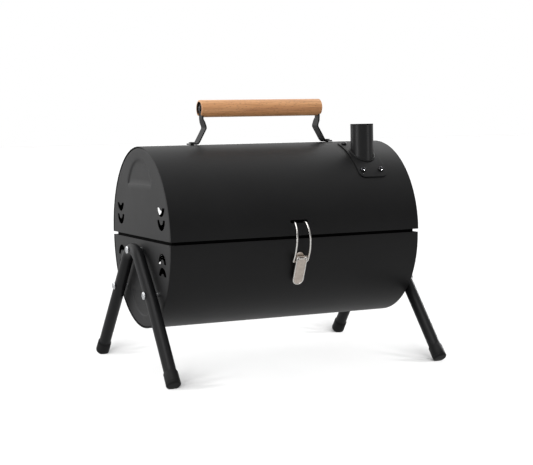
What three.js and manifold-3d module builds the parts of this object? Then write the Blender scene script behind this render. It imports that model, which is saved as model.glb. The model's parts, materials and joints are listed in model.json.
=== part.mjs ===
// Tabletop barrel charcoal grill. Millimetres: +X along the barrel, -Y the front, +Z up, ground at z = 0.
import * as THREE from 'three';
import { mergeVertices } from 'three/addons/utils/BufferGeometryUtils.js';
import Module from 'manifold-3d';

const wasm = await Module();
wasm.setup();

// ---- Driving dimensions ----
const AXIS_Z = 164;             // height of the seam between tub and lid above the ground
const BARREL_LENGTH = 331;
const TUB_R = 110;
const LID_R = 111.2;            // the lid's rim overhangs the tub's a little
const SEAM = 3.8;               // open gap between the two rims
const SHEET = 1.2;              // steel sheet
const FIT = 0.3;                // gap kept between pieces that touch
const PANEL_RECESS = 0.4;       // end panels sit this far inside the shells' edges
const CAP_DEPTH = 7;            // depth of the pressed flange of an end panel
const ARC_STEPS = 36;           // facets around half of the barrel

const EMBOSS_R = 48.5;          // stiffening segment pressed into each end panel
const EMBOSS_CHORD = 66;        // height of its flat edge above the seam
const EMBOSS_DEPTH = 1;
const EMBOSS_SLOPE = 1.4;       // width of the sloping wall round it
const VENT_Y = 78;              // half-ring vents, two above each other at the front and at the back
const VENT_R = 13.4;
// centre and inner radius of each vent, and the height where its limbs end
const VENTS = [{ z: 26.8, inner: 6.4, end: 26.3 }, { z: 43.5, inner: 6, end: 40.8 }];
const DRAUGHT = {               // two round holes in the back of the lid and two in the tub
  lid: { x: 106, z: 25, r: 6.5 },
  tub: { x: 104, z: -45, r: 3.6 },
};
const LIP = { x: 162.3, y: 106.8, corner: 6, low: -8.2, high: 5 };   // hoop inside the tub's rim

const HANDLE_Z = 158.3;         // heights from here on are counted from the seam
const HANDLE_LENGTH = 167.5;
const HANDLE_R = 10.8;
const RECESS_R = 8.5;           // counterbore in each end of the grip
const STRAP_TAB_X = 81;
const STRAP_KNEE = { x: 77.3, z: 134.2 };
const STRAP_BEND_X = 88.5;
const STRAP_TOE_X = 99.5;
const STRAP_WIDTH = 16;
const STRAP_TAB_WIDTH = 12;
const STRAP_GAUGE = 1.8;
const STRAP_SCREW_X = 94.2;

const PIPE_X = 115;             // chimney
const PIPE_Y = -58.5;
const PIPE_R = 14.5;
const PIPE_WALL = 1;
const PIPE_TOP = 135.2;
const SADDLE_ANGLE = 122.5;     // middle of the saddle plate, degrees from +Y round to the front
const SADDLE_HALF_WIDTH = 19.5;
const SADDLE_HALF_LENGTH = 40.5;
const SADDLE_CHAMFER = 7;
const SADDLE_SCREW = { x: 12.6, length: 30.4 };

const LEG_R = 7.6;
const LEG_WALL = 1.2;
const LEG_GAP = 1.8;            // between the end panel and the leg tube
const LEG_UPPER_ANGLE = 42.1;   // of each half of the V to the vertical, degrees
const LEG_LOWER_ANGLE = 40.2;
const LEG_BEND_R = 31;
const LEG_APEX = -13.6;
const LEG_KINK = { y: 67.5, z: -73 };
const LEG_LEAN = 1.4;           // below the kink the legs lean outwards, degrees
const LEG_BOLT = { y: 59.6, z: -64.2 };
const CAP_R = 8.9;              // rubber foot caps
const CAP_LENGTH = 18.5;
const CAP_END = 3;
const CAP_FLAT = 1.8;           // worn off the cap's corner, so that it stands flat
const CAP_FIT = 0.35;           // round the tube
const BOLT = { shank: 2.5, head: 4.7, headHeight: 1.9, hole: 2.8 };
const NUT = { r: 4.6, height: 4 };
const HOLES = { toe: 2.3, tab: 2.2, saddle: 2.1, rivet: 1.9 };   // radii of the screw and rivet holes

const HINGE_X = 70;
const HINGE_Y = 114.9;
const KNUCKLE_R = 3.2;
const HINGE_PIN_R = 1.5;
const HINGE_BORE_R = 1.8;
const HINGE_HALF_WIDTH = 18;
const HINGE_MIDDLE = 6;
const HINGE_LEAF_DEGREES = 16;

const SLOT = { halfWidth: 11.5, low: 17.2, high: 20.8 };
const LATCH_X = -0.3;
const LATCH_DEGREES = 16.4;     // below the seam, where the latch's base lies against the tub
const LEVER_PIN = { up: 10.5, out: 5 };
const BAIL_PIN = { up: 4.8, out: 4.6 };
const LEVER_TILT = 8;
const LEVER_WIDTH = 14.5;
const LEVER_TAIL = 36.5;
const LATCH_SHEET = 1.2;
const PIN_BORE_R = 1.5;
const WIRE_R = 1.1;

const GRATE_HALF_LENGTH = 155;
const COOKING = { z: -22, halfWidth: 103, bars: 23, bar: 3 };
const CHARCOAL = { z: -68, halfWidth: 79, bars: 21, bar: 3.4 };
const LEDGE_REACH = 14;
const LEDGE_DROP = 12;
const UPPER_LEDGE_HALF = 50;
const LOWER_LEDGE_HALF = 40;
const BEYOND = 1.3;             // times half the barrel's length, for a tool that passes right through it

// ---- Materials: colour, roughness, metalness ----
const FINISH = {
  powder: ['#262628', 0.55, 0.2],
  panel: ['#2b2b2d', 0.6, 0.2],
  beech: ['#c98f58', 0.6, 0],
  zinc: ['#c9cacc', 0.3, 1],
  darkZinc: ['#303033', 0.3, 1],
  latch: ['#c9beb0', 0.32, 0.9],
  rubber: ['#1b1b1c', 0.75, 0],
  chrome: ['#c4c6c8', 0.25, 1],
  iron: ['#3a3a3c', 0.6, 0.6],
};

// ---- Solids ----
function toSolid(geometry) {
  const bare = new THREE.BufferGeometry().setAttribute('position', geometry.attributes.position);
  if (geometry.index) bare.setIndex(geometry.index);
  const merged = mergeVertices(bare, 1e-3);
  return new wasm.Manifold(new wasm.Mesh({
    numProp: 3,
    vertProperties: merged.attributes.position.array,
    triVerts: new Uint32Array(merged.index.array),
  }));
}

function toGeometry(solid) {
  const mesh = solid.getMesh();
  const geometry = new THREE.BufferGeometry();
  geometry.setAttribute('position', new THREE.BufferAttribute(mesh.vertProperties, 3));
  geometry.setIndex(new THREE.BufferAttribute(mesh.triVerts, 1));
  geometry.computeVertexNormals();
  return geometry;
}

function join(...geometries) {
  return toGeometry(geometries.map(toSolid).reduce((a, b) => a.add(b)));
}

function cut(geometry, ...tools) {
  return toGeometry(tools.map(toSolid).reduce((a, b) => a.subtract(b), toSolid(geometry)));
}

function meet(a, b) {
  return toGeometry(toSolid(a).intersect(toSolid(b)));
}

function radians(degrees) {
  return THREE.MathUtils.degToRad(degrees);
}

function arc(u, v, r, from, to, steps) {
  return Array.from({ length: steps + 1 }, (_, i) => {
    const a = radians(from + (to - from) * i / steps);
    return new THREE.Vector2(u + r * Math.cos(a), v + r * Math.sin(a));
  });
}

function outline(points, holes = []) {
  const shape = new THREE.Shape(points);
  shape.holes = holes.map((hole) => new THREE.Path(hole));
  return shape;
}

function extrude(shape, depth) {
  return new THREE.ExtrudeGeometry(shape, { depth, bevelEnabled: false });
}

// An outline in (y, z), extruded along X.
function alongX(points, x0, x1, holes) {
  const turn = new THREE.Matrix4().makeBasis(
    new THREE.Vector3(0, 1, 0), new THREE.Vector3(0, 0, 1), new THREE.Vector3(1, 0, 0));
  return extrude(outline(points, holes), x1 - x0).applyMatrix4(turn).translate(x0, 0, 0);
}

// An outline in (x, z), extruded along Y.
function alongY(points, y0, y1) {
  return extrude(outline(points), y1 - y0).rotateX(Math.PI / 2).translate(0, y1, 0);
}

function block(x0, x1, y0, y1, z0, z1) {
  return new THREE.BoxGeometry(x1 - x0, y1 - y0, z1 - z0)
    .translate((x0 + x1) / 2, (y0 + y1) / 2, (z0 + z1) / 2);
}

// A round bar from one point towards another.
function bar(from, to, r, sides = 16) {
  const step = new THREE.Vector3().subVectors(to, from);
  const turn = new THREE.Quaternion().setFromUnitVectors(vec(0, 1, 0), step.clone().normalize());
  return new THREE.CylinderGeometry(r, r, step.length(), sides)
    .applyQuaternion(turn).translate(...from.clone().addScaledVector(step, 0.5));
}

function vec(x, y, z) {
  return new THREE.Vector3(x, y, z);
}

// A half ring of sheet round the barrel's axis, between two angles.
function band(centreZ, r, gauge, from, to, x0, x1, steps = ARC_STEPS) {
  const outer = arc(0, centreZ, r, from, to, steps);
  const inner = arc(0, centreZ, r - gauge, to, from, steps);
  return alongX([...outer, ...inner], x0, x1);
}

// A path that bends only at its stations.
class StationPath extends THREE.Curve {
  constructor(points) {
    super();
    this.points = points;
  }

  getPoint(t, target = new THREE.Vector3()) {
    const s = t * (this.points.length - 1);
    const i = Math.min(Math.floor(s), this.points.length - 2);
    return target.lerpVectors(this.points[i], this.points[i + 1], s - i);
  }

  getPointAt(u, target) {
    return this.getPoint(u, target);
  }

  getTangentAt(u, target) {
    return this.getTangent(u, target);
  }
}

function sweep(points, section) {
  return new THREE.ExtrudeGeometry(section, {
    steps: points.length - 1,
    bevelEnabled: false,
    extrudePath: new StationPath(points),
  });
}

// A round head on a shank, standing on local +Y with the head's underside at 0.
function screw(headR, headHeight, shankR, shankLength, sides = 10) {
  const profile = [
    [0, -shankLength], [shankR, -shankLength], [shankR, 0], [headR, 0],
    [headR, headHeight * 0.4], [headR * 0.7, headHeight], [0, headHeight],
  ].map(([r, y]) => new THREE.Vector2(r, y));
  return toGeometry(toSolid(new THREE.LatheGeometry(profile, sides)));
}

function pointing(geometry, direction, at) {
  const turn = new THREE.Quaternion().setFromUnitVectors(vec(0, 1, 0), direction.clone().normalize());
  return geometry.applyQuaternion(turn).translate(at.x, at.y, at.z);
}

const grill = new THREE.Group();
const barrel = new THREE.Group();
barrel.position.z = AXIS_Z;
grill.add(barrel);

function addTo(parent, name, geometry, finish) {
  const [color, roughness, metalness] = FINISH[finish];
  const mesh = new THREE.Mesh(geometry, new THREE.MeshStandardMaterial({ color, roughness, metalness }));
  mesh.name = name;
  parent.add(mesh);
  return mesh;
}

// ---- Shells ----
const HALF = BARREL_LENGTH / 2;
const RIM = SEAM / 2;
const SIDES = { left: -1, right: 1 };

function lidSurfacePoint(x, degrees, r = LID_R) {
  return vec(x, r * Math.cos(radians(degrees)), RIM + r * Math.sin(radians(degrees)));
}

function draughtHoles({ x, z, r }) {
  return [-x, x].map((at) => bar(vec(at, 0.7 * TUB_R, z), vec(at, 1.2 * LID_R, z), r, 20));
}

// A round tool along the chimney's axis.
function flueTool(r, sides) {
  return bar(vec(PIPE_X, PIPE_Y, 0.5 * LID_R), vec(PIPE_X, PIPE_Y, 1.2 * LID_R), r, sides);
}

function lidShell() {
  const skin = band(RIM, LID_R, SHEET, 0, 180, -HALF, HALF);
  const flue = flueTool(PIPE_R - PIPE_WALL - 0.8, 24);
  const keeper = block(-SLOT.halfWidth, SLOT.halfWidth, -LID_R - 5, -LID_R + 8, SLOT.low, SLOT.high);
  const strapHoles = [-1, 1].map((side) =>
    bar(vec(side * STRAP_SCREW_X, 0, 0.9 * LID_R), vec(side * STRAP_SCREW_X, 0, 1.1 * LID_R), HOLES.toe, 12));
  return cut(skin, flue, keeper, ...strapHoles, ...saddleHoles(), ...draughtHoles(DRAUGHT.lid));
}

function tubShell() {
  const skin = band(-RIM, TUB_R, SHEET, 180, 360, -HALF, HALF);
  return cut(skin, ...rivetHoles(), ...draughtHoles(DRAUGHT.tub));
}

// A hoop of sheet that lies inside the tub's rim and stands up behind the seam.
function seamLip() {
  const hoop = (r) => [[1, 1], [-1, 1], [-1, -1], [1, -1]].flatMap(([x, y], quarter) =>
    arc(x * (LIP.x - LIP.corner), y * (LIP.y - LIP.corner), r, 90 * quarter, 90 * quarter + 90, 5));
  const height = LIP.high - LIP.low;
  const hollow = extrude(outline(hoop(LIP.corner - SHEET)), height + 2).translate(0, 0, -1);
  return cut(extrude(outline(hoop(LIP.corner)), height), hollow).translate(0, 0, LIP.low);
}

// A half-ring vent: a U in the lid, turned over in the tub. Its limbs are cut off level.
function vent(y, { z, inner, end }, up) {
  const dip = (r) => Math.asin((z - end) / r) * 180 / Math.PI;
  const outside = arc(y, z, VENT_R, 180 + dip(VENT_R), 360 - dip(VENT_R), 10);
  const inside = arc(y, z, inner, 360 - dip(inner), 180 + dip(inner), 8);
  return [...outside, ...inside].map((p) => new THREE.Vector2(p.x, up ? p.y : -p.y));
}

// The pressed segment's outline, grown outwards by a margin.
function embossOutline(margin, up) {
  const r = EMBOSS_R + margin;
  const reach = Math.asin((EMBOSS_CHORD - margin - EMBOSS_R) / r) * 180 / Math.PI;
  return arc(0, EMBOSS_R, r, reach, 180 - reach, 12)
    .map((p) => new THREE.Vector2(p.x, up ? p.y : -p.y));
}

// A pressed cup: flat face with vents and a sunk segment, and a flange that nests inside the shell.
function endPanel(side, up) {
  const r = (up ? LID_R : TUB_R) - SHEET - FIT;
  const from = up ? 0 : 180;
  const centreZ = up ? RIM : -RIM;
  const face = HALF - PANEL_RECESS;
  const layer = (points, outer, inner) =>
    alongX(points, ...[side * outer, side * inner].sort((a, b) => a - b));
  const vents = [-1, 1].flatMap((s) =>
    VENTS.map((v) => layer(vent(s * VENT_Y, v, up), face + 1, face - SHEET - 1)));
  const plate = layer(arc(0, centreZ, r, from, from + 180, ARC_STEPS), face, face - SHEET);
  const flange = band(centreZ, r, SHEET, from, from + 180,
    ...[side * (face - 0.2), side * (face - CAP_DEPTH)].sort((a, b) => a - b));
  const floor = layer(embossOutline(EMBOSS_SLOPE, up), face - SHEET + 0.1, face - SHEET - EMBOSS_DEPTH);
  const pocket = layer(embossOutline(0, up), face + 1, face - EMBOSS_DEPTH);
  const panel = cut(join(plate, flange, floor), pocket, ...vents);
  return up ? panel : cut(panel, ...boltHoles());
}

// ---- Legs ----
function legBolts() {
  return [[0, LEG_APEX], [-LEG_BOLT.y, LEG_BOLT.z], [LEG_BOLT.y, LEG_BOLT.z]];
}

function boltHoles() {
  return legBolts().map(([y, z]) => bar(vec(-BEYOND * HALF, y, z), vec(BEYOND * HALF, y, z), BOLT.hole, 8));
}

// Centre line of one half of the V, from the apex down: (x offset, y, z).
function legStations() {
  const bend = arc(0, LEG_APEX - LEG_BEND_R, LEG_BEND_R, 90, LEG_UPPER_ANGLE, 5)
    .map((p) => vec(0, p.x, p.y));
  const end = capEndHeight() + (CAP_END + FIT) * Math.cos(radians(LEG_LOWER_ANGLE));
  const drop = LEG_KINK.z - end;
  const out = drop * Math.tan(radians(LEG_LEAN));
  const spread = drop * Math.tan(radians(LEG_LOWER_ANGLE));
  return [...bend, vec(0, LEG_KINK.y, LEG_KINK.z), vec(out, LEG_KINK.y + spread, end)];
}

// Height of the middle of a foot cap's end face, so that its lowest corner is cut flat by the ground.
function capEndHeight() {
  return -AXIS_Z - CAP_FLAT + CAP_R * Math.sin(radians(LEG_LOWER_ANGLE));
}

const LEG_X = HALF + LEG_GAP + LEG_R;

function leg(side) {
  const half = legStations();
  const path = [...half.slice(1).reverse().map((p) => vec(p.x, -p.y, p.z)), ...half]
    .map((p) => vec(side * (LEG_X + p.x), p.y, p.z));
  const section = outline(arc(0, 0, LEG_R, 0, 337.5, 15), [arc(0, 0, LEG_R - LEG_WALL, 0, 315, 7)]);
  return cut(sweep(path, section), ...boltHoles());
}

function footCap(side, end) {
  const stations = legStations();
  const foot = stations.at(-1);
  const knee = stations.at(-2);
  const place = (p) => vec(side * (LEG_X + p.x), end * p.y, p.z);
  const down = new THREE.Vector3().subVectors(place(foot), place(knee)).normalize();
  const bore = LEG_R + CAP_FIT;
  const lip = [[CAP_R, CAP_LENGTH - 0.8], [CAP_R - 0.8, CAP_LENGTH], [bore, CAP_LENGTH], [bore, CAP_END],
    [0, CAP_END]].map(([r, y]) => new THREE.Vector2(r, y));
  const profile = [new THREE.Vector2(0, 0), ...arc(CAP_R - 1.5, 1.5, 1.5, 270, 360, 2), ...lip];
  const cup = pointing(new THREE.LatheGeometry(profile, 20), down.clone().negate(),
    place(foot).addScaledVector(down, CAP_END + FIT));
  const ground = block(-400, 400, -400, 400, -AXIS_Z - 60, -AXIS_Z);
  return cut(cup, ground);
}

function legFasteners(side, name, [y, z]) {
  const outside = LEG_X + LEG_R + FIT;
  const inside = HALF - PANEL_RECESS - SHEET - FIT;
  const bolt = pointing(
    screw(BOLT.head, BOLT.headHeight, BOLT.shank, outside - inside + NUT.height + 2),
    vec(side, 0, 0), vec(side * outside, y, z));
  addTo(barrel, `leg_bolt_${name}`, bolt, 'zinc');
  const hexagon = arc(y, z, NUT.r, 0, 300, 5);
  const faces = [side * inside, side * (inside - NUT.height)].sort((a, b) => a - b);
  addTo(barrel, `leg_nut_${name}`, alongX(hexagon, ...faces, [arc(y, z, BOLT.hole, 0, 315, 7)]), 'zinc');
}

// ---- Handle ----
function grip() {
  const floor = STRAP_TAB_X - STRAP_GAUGE / 2 - FIT;
  const past = HANDLE_LENGTH / 2 + 10;
  const slot = STRAP_TAB_WIDTH / 2 + FIT;
  const wood = bar(vec(-HANDLE_LENGTH / 2, 0, HANDLE_Z), vec(HANDLE_LENGTH / 2, 0, HANDLE_Z), HANDLE_R, 24);
  const cuts = [-1, 1].flatMap((side) => {
    const [x0, x1] = [side * floor, side * past].sort((a, b) => a - b);
    return [
      bar(vec(x0, 0, HANDLE_Z), vec(x1, 0, HANDLE_Z), RECESS_R, 20),
      block(x0, x1, -slot, slot, HANDLE_Z - 2 * HANDLE_R, HANDLE_Z),
      bar(vec(side * (floor - 14), 0, HANDLE_Z), vec(side * past, 0, HANDLE_Z), HOLES.tab, 8),
    ];
  });
  return cut(wood, ...cuts);
}

// A bent strip: toe on the lid, shin rising inwards to a knee, and a tab up into the grip's recess.
function strap(side) {
  const sole = RIM + LID_R + FIT;
  const middle = sole + STRAP_GAUGE / 2;
  const line = [
    [STRAP_TOE_X, middle], [STRAP_BEND_X, middle], [STRAP_KNEE.x, STRAP_KNEE.z],
    [STRAP_TAB_X, HANDLE_Z - 13], [STRAP_TAB_X, HANDLE_Z + 6],
  ].map(([x, z]) => new THREE.Vector2(x, z));
  const ribbon = thicken(line, STRAP_GAUGE).map((p) => new THREE.Vector2(side * p.x, p.y));
  const strip = alongY(side > 0 ? ribbon : ribbon.reverse(), -STRAP_WIDTH / 2, STRAP_WIDTH / 2);
  const wide = STRAP_WIDTH / 2 + 1;
  const narrow = STRAP_TAB_WIDTH / 2;
  const front = [
    new THREE.Vector2(-wide, 0), new THREE.Vector2(wide, 0), new THREE.Vector2(wide, HANDLE_Z - 17),
    new THREE.Vector2(narrow, HANDLE_Z - 13), ...arc(0, HANDLE_Z, narrow, 0, 180, 10),
    new THREE.Vector2(-narrow, HANDLE_Z - 13), new THREE.Vector2(-wide, HANDLE_Z - 17),
  ];
  const trimmed = meet(strip, alongX(front, -HALF, HALF));
  const screwX = side * STRAP_SCREW_X;
  const toeHole = bar(vec(screwX, 0, sole - 5), vec(screwX, 0, sole + 8), HOLES.toe, 12);
  const tabX = side * STRAP_TAB_X;
  const tabHole = bar(vec(tabX - 6, 0, HANDLE_Z), vec(tabX + 6, 0, HANDLE_Z), HOLES.tab, 12);
  return cut(trimmed, toeHole, tabHole);
}

// Outline of a strip of even gauge along a bent centre line, with mitred corners.
function thicken(line, gauge) {
  const offset = (i, sign) => {
    const before = i > 0 ? line[i].clone().sub(line[i - 1]).normalize() : null;
    const after = i < line.length - 1 ? line[i + 1].clone().sub(line[i]).normalize() : null;
    const a = before ?? after;
    const b = after ?? before;
    const normal = new THREE.Vector2(-(a.y + b.y), a.x + b.x).normalize();
    const stretch = gauge / 2 / Math.cos(a.angleTo(b) / 2);
    return line[i].clone().addScaledVector(normal, sign * stretch);
  };
  return [...line.map((_, i) => offset(i, -1)), ...line.map((_, i) => offset(i, 1)).reverse()];
}

function handleScrews(side, name) {
  const toeTop = vec(side * STRAP_SCREW_X, 0, RIM + LID_R + FIT + STRAP_GAUGE + FIT);
  const tabFace = vec(side * (STRAP_TAB_X + STRAP_GAUGE / 2 + FIT), 0, HANDLE_Z);
  addTo(barrel, `handle_foot_screw_${name}`,
    pointing(screw(4.2, 1.3, 2, STRAP_GAUGE + SHEET + 6), vec(0, 0, 1), toeTop), 'powder');
  addTo(barrel, `handle_end_screw_${name}`,
    pointing(screw(3.4, 1.5, 1.9, 15), vec(side, 0, 0), tabFace), 'darkZinc');
}

// ---- Chimney ----
const SADDLE_R = LID_R + FIT + SHEET;
const SADDLE_NORMAL = vec(0, Math.cos(radians(SADDLE_ANGLE)), Math.sin(radians(SADDLE_ANGLE)));

function saddleScrewAngles() {
  const spread = SADDLE_SCREW.length / SADDLE_R * 180 / Math.PI;
  return [-1, 1].flatMap((across) => [-1, 1].map((along) =>
    [PIPE_X + across * SADDLE_SCREW.x, SADDLE_ANGLE + along * spread]));
}

function saddleHoles() {
  return saddleScrewAngles().map(([x, angle]) =>
    bar(lidSurfacePoint(x, angle, LID_R - 8), lidSurfacePoint(x, angle, LID_R + 8), HOLES.saddle, 12));
}

// A rolled plate with chamfered corners that lies on the lid.
function saddle() {
  const w = SADDLE_HALF_WIDTH;
  const l = SADDLE_HALF_LENGTH;
  const c = SADDLE_CHAMFER;
  const corners = [
    [w, l - c], [w - c, l], [c - w, l], [-w, l - c], [-w, c - l], [c - w, -l], [w - c, -l], [w, c - l],
  ].map(([x, y]) => new THREE.Vector2(x, y));
  const across = vec(1, 0, 0);
  const uphill = new THREE.Vector3().crossVectors(SADDLE_NORMAL, across);
  const basis = new THREE.Matrix4().makeBasis(across, uphill, SADDLE_NORMAL);
  const punch = extrude(outline(corners), 60).applyMatrix4(basis)
    .translate(...vec(PIPE_X, 0, RIM).addScaledVector(SADDLE_NORMAL, 80));
  const sheet = band(RIM, SADDLE_R, SHEET, SADDLE_ANGLE - 28, SADDLE_ANGLE + 28,
    PIPE_X - 30, PIPE_X + 30, 20);
  return cut(meet(sheet, punch), flueTool(PIPE_R + FIT, 28), ...saddleHoles());
}

function pipe() {
  const bore = PIPE_R - PIPE_WALL;
  const foot = 0.6 * LID_R;
  const section = [
    [bore, foot], [PIPE_R, foot], [PIPE_R, PIPE_TOP - 0.3], [PIPE_R - 0.3, PIPE_TOP],
    [bore + 0.3, PIPE_TOP], [bore, PIPE_TOP - 0.3], [bore, foot],
  ].map(([r, z]) => new THREE.Vector2(r, z));
  const tube = new THREE.LatheGeometry(section, 28).rotateX(Math.PI / 2).translate(PIPE_X, PIPE_Y, 0);
  const lid = bar(vec(PIPE_X - 40, 0, RIM), vec(PIPE_X + 40, 0, RIM), LID_R + FIT, 2 * ARC_STEPS);
  return cut(tube, lid);
}

function saddleScrews() {
  saddleScrewAngles().forEach(([x, angle], i) => {
    const at = lidSurfacePoint(x, angle, SADDLE_R + FIT);
    const out = vec(0, Math.cos(radians(angle)), Math.sin(radians(angle)));
    const head = pointing(screw(3.6, 2.2, 1.8, 2 * SHEET + 6), out, at);
    addTo(barrel, `chimney_screw_${i + 1}`, head, 'darkZinc');
  });
}

// ---- Hinges ----
function knuckle(x0, x1) {
  return alongX(arc(HINGE_Y, 0, KNUCKLE_R, 0, 330, 11), x0, x1, [arc(HINGE_Y, 0, HINGE_BORE_R, 0, 315, 7)]);
}

// A leaf rolled to the shell's curve, with lugs out to its knuckles and room for the other leaf's.
function hingeLeaf(centreX, r, centreZ, from, knuckles, others) {
  const sheet = band(centreZ, r + FIT + SHEET, SHEET, from, from + HINGE_LEAF_DEGREES,
    centreX - HINGE_HALF_WIDTH, centreX + HINGE_HALF_WIDTH, 4);
  const room = others.map(([a, b]) => axle(centreX + a - FIT, centreX + b + FIT, KNUCKLE_R + 0.4, 12));
  const below = from < 0;
  const lugZ = below ? [-KNUCKLE_R, SHEET - KNUCKLE_R] : [KNUCKLE_R - SHEET, KNUCKLE_R];
  const lugs = knuckles.map(([a, b]) => block(centreX + a, centreX + b, r + 0.7, HINGE_Y, ...lugZ));
  const rolls = knuckles.map(([a, b]) => knuckle(centreX + a, centreX + b));
  const bore = axle(centreX - 20, centreX + 20, HINGE_BORE_R, 8);
  return cut(join(cut(sheet, ...room), ...lugs, ...rolls), bore);
}

const MIDDLE_KNUCKLE = [[-HINGE_MIDDLE, HINGE_MIDDLE]];
const OUTER_KNUCKLES = [[-HINGE_HALF_WIDTH, -HINGE_MIDDLE - FIT], [HINGE_MIDDLE + FIT, HINGE_HALF_WIDTH]];

function tubLeaf(centreX) {
  return hingeLeaf(centreX, TUB_R, -RIM, -HINGE_LEAF_DEGREES, MIDDLE_KNUCKLE, OUTER_KNUCKLES);
}

function lidLeaf(centreX) {
  return hingeLeaf(centreX, LID_R, RIM, 0, OUTER_KNUCKLES, MIDDLE_KNUCKLE);
}

function axle(x0, x1, r, sides) {
  return bar(vec(x0, HINGE_Y, 0), vec(x1, HINGE_Y, 0), r, sides);
}

function hingePin(centreX) {
  const reach = HINGE_HALF_WIDTH + 1.2;
  return axle(centreX - reach, centreX + reach, HINGE_PIN_R, 10);
}

// ---- Latch: drawn in its own frame, +Y up along the tub's skin, +Z straight out of it ----
const latch = new THREE.Group();
latch.position.set(
  LATCH_X, -TUB_R * Math.cos(radians(LATCH_DEGREES)), -RIM - TUB_R * Math.sin(radians(LATCH_DEGREES)));
latch.rotation.x = Math.PI / 2 + radians(LATCH_DEGREES);
barrel.add(latch);
const RIVETS = [-8.5, 0.5];
const BASE_OUT = 0.6;           // the flat base stands this far off the middle of the curved skin

function rivetHoles() {
  latch.updateMatrixWorld(true);
  return RIVETS.map((up) => bar(vec(0, up, -6), vec(0, up, 6), HOLES.rivet, 12)
    .applyMatrix4(new THREE.Matrix4().compose(latch.position, latch.quaternion, latch.scale)));
}

// A tool for the hole of a pin that runs across the latch.
function pinBore({ up, out }) {
  return bar(vec(-LEVER_WIDTH, up, out), vec(LEVER_WIDTH, up, out), PIN_BORE_R, 12);
}

function latchBase() {
  const plate = extrude(outline([
    ...arc(0, -8, 5, 180, 360, 10), ...arc(0, 10.8, 5, 0, 180, 10),
  ]), LATCH_SHEET).translate(0, 0, BASE_OUT);
  const rise = [new THREE.Vector2(3.5, BASE_OUT), new THREE.Vector2(12.5, BASE_OUT),
    ...arc(LEVER_PIN.up, LEVER_PIN.out, 2, 0, 180, 8)];
  const ears = [-1, 1].map((side) => {
    const [x0, x1] = [side * 5, side * 3.8].sort((a, b) => a - b);
    return alongX(rise, x0, x1);
  });
  const holes = RIVETS.map((up) => bar(vec(0, up, -2), vec(0, up, 5), HOLES.rivet, 12));
  return cut(join(plate, ...ears), pinBore(LEVER_PIN), ...holes);
}

// Lever: a plate with a raised rim, tilted down to the skin, and two cheeks for the pins.
function latchLever() {
  const half = LEVER_WIDTH / 2;
  const foot = arc(0, -LEVER_TAIL + half, half, 180, 360, 14);
  const top = [[half, 0], [half - 2, 1.8], [2 - half, 1.8], [-half, 0]]
    .map(([x, y]) => new THREE.Vector2(x, y));
  const inset = half - 1.3;
  const panel = [...arc(0, -LEVER_TAIL + half, inset, 360, 180, 14), new THREE.Vector2(-inset, -3),
    new THREE.Vector2(inset, -3)];
  const plate = extrude(outline([...foot, ...top]), LATCH_SHEET);
  const rim = extrude(outline([...foot, ...top], [panel]), LATCH_SHEET + 0.7);
  const skin = join(plate, rim).rotateX(radians(LEVER_TILT)).translate(0, LEVER_PIN.up, LEVER_PIN.out + 2.4);
  const side = [
    new THREE.Vector2(BAIL_PIN.up - 3, BAIL_PIN.out + 2.2),
    ...arc(BAIL_PIN.up, BAIL_PIN.out, 2.1, 180, 270, 4),
    ...arc(LEVER_PIN.up, LEVER_PIN.out, 2.1, 270, 360, 4),
    new THREE.Vector2(LEVER_PIN.up + 1.4, LEVER_PIN.out + 3),
    new THREE.Vector2(BAIL_PIN.up - 3, BAIL_PIN.out + 2.4),
  ];
  const cheeks = [-1, 1].map((s) => {
    const [x0, x1] = [s * half, s * (half - LATCH_SHEET)].sort((a, b) => a - b);
    return alongX(side, x0, x1);
  });
  return cut(join(skin, ...cheeks), pinBore(LEVER_PIN), pinBore(BAIL_PIN));
}

// Bail: one wire from the lever's left cheek, bowed out over the seam, through the keeper slot and back.
function latchBail() {
  const rise = [
    [9.5, BAIL_PIN.up, BAIL_PIN.out], [9.5, 8, 6.3], [9.4, 14, 8], [9.3, 21, 8.9], [9, 29, 8.7],
    [8.7, 36.5, 7.2], [8.2, 43, 4.2], [7.7, 47.6, -0.4], [7.2, 50.8, -5.8], [6.8, 50.6, -9.6],
  ].map(([x, up, out]) => vec(x, up, out));
  const pivot = [5.9, 8.4].map((x) => vec(x, BAIL_PIN.up, BAIL_PIN.out));
  const half = [...pivot, ...rise, vec(5.6, 50.4, -13.2)];
  const path = [...half.map((p) => vec(-p.x, p.y, p.z)), ...half.reverse()];
  return sweep(path, outline(arc(0, 0, WIRE_R, 0, 315, 7)));
}

function latchPin() {
  const axis = (x) => vec(x, LEVER_PIN.up, LEVER_PIN.out);
  return join(bar(axis(-7.9), axis(7.9), 1.2, 12), bar(axis(-8), axis(-7.55), 1.6, 12));
}

// ---- Grates ----
// A flat ladder of bars between two long rails.
function grate({ z, halfWidth, bars, bar: gauge }) {
  const end = GRATE_HALF_LENGTH;
  const pitch = (2 * end - gauge) / (bars - 1);
  const inside = halfWidth - gauge;
  const sheet = block(-end, end, -halfWidth, halfWidth, z - gauge / 2, z + gauge / 2);
  const gaps = Array.from({ length: bars - 1 }, (_, i) => {
    const x = -end + gauge + i * pitch;
    return block(x, x + pitch - gauge, -inside, inside, z - gauge, z + gauge);
  });
  return cut(sheet, ...gaps);
}

// An angle strip on the inside of an end panel, standing off it by a gap.
function ledge(side, { z, bar: gauge }, halfWidth, gap) {
  const top = z - gauge / 2 - FIT;
  const wall = HALF - PANEL_RECESS - SHEET - gap;
  const profile = [[wall, top], [wall - LEDGE_REACH, top], [wall - LEDGE_REACH, top - SHEET],
    [wall - SHEET, top - SHEET], [wall - SHEET, top - LEDGE_DROP], [wall, top - LEDGE_DROP]]
    .map(([x, y]) => new THREE.Vector2(side * x, y));
  return alongY(side > 0 ? profile : profile.reverse(), -halfWidth, halfWidth);
}

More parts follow.
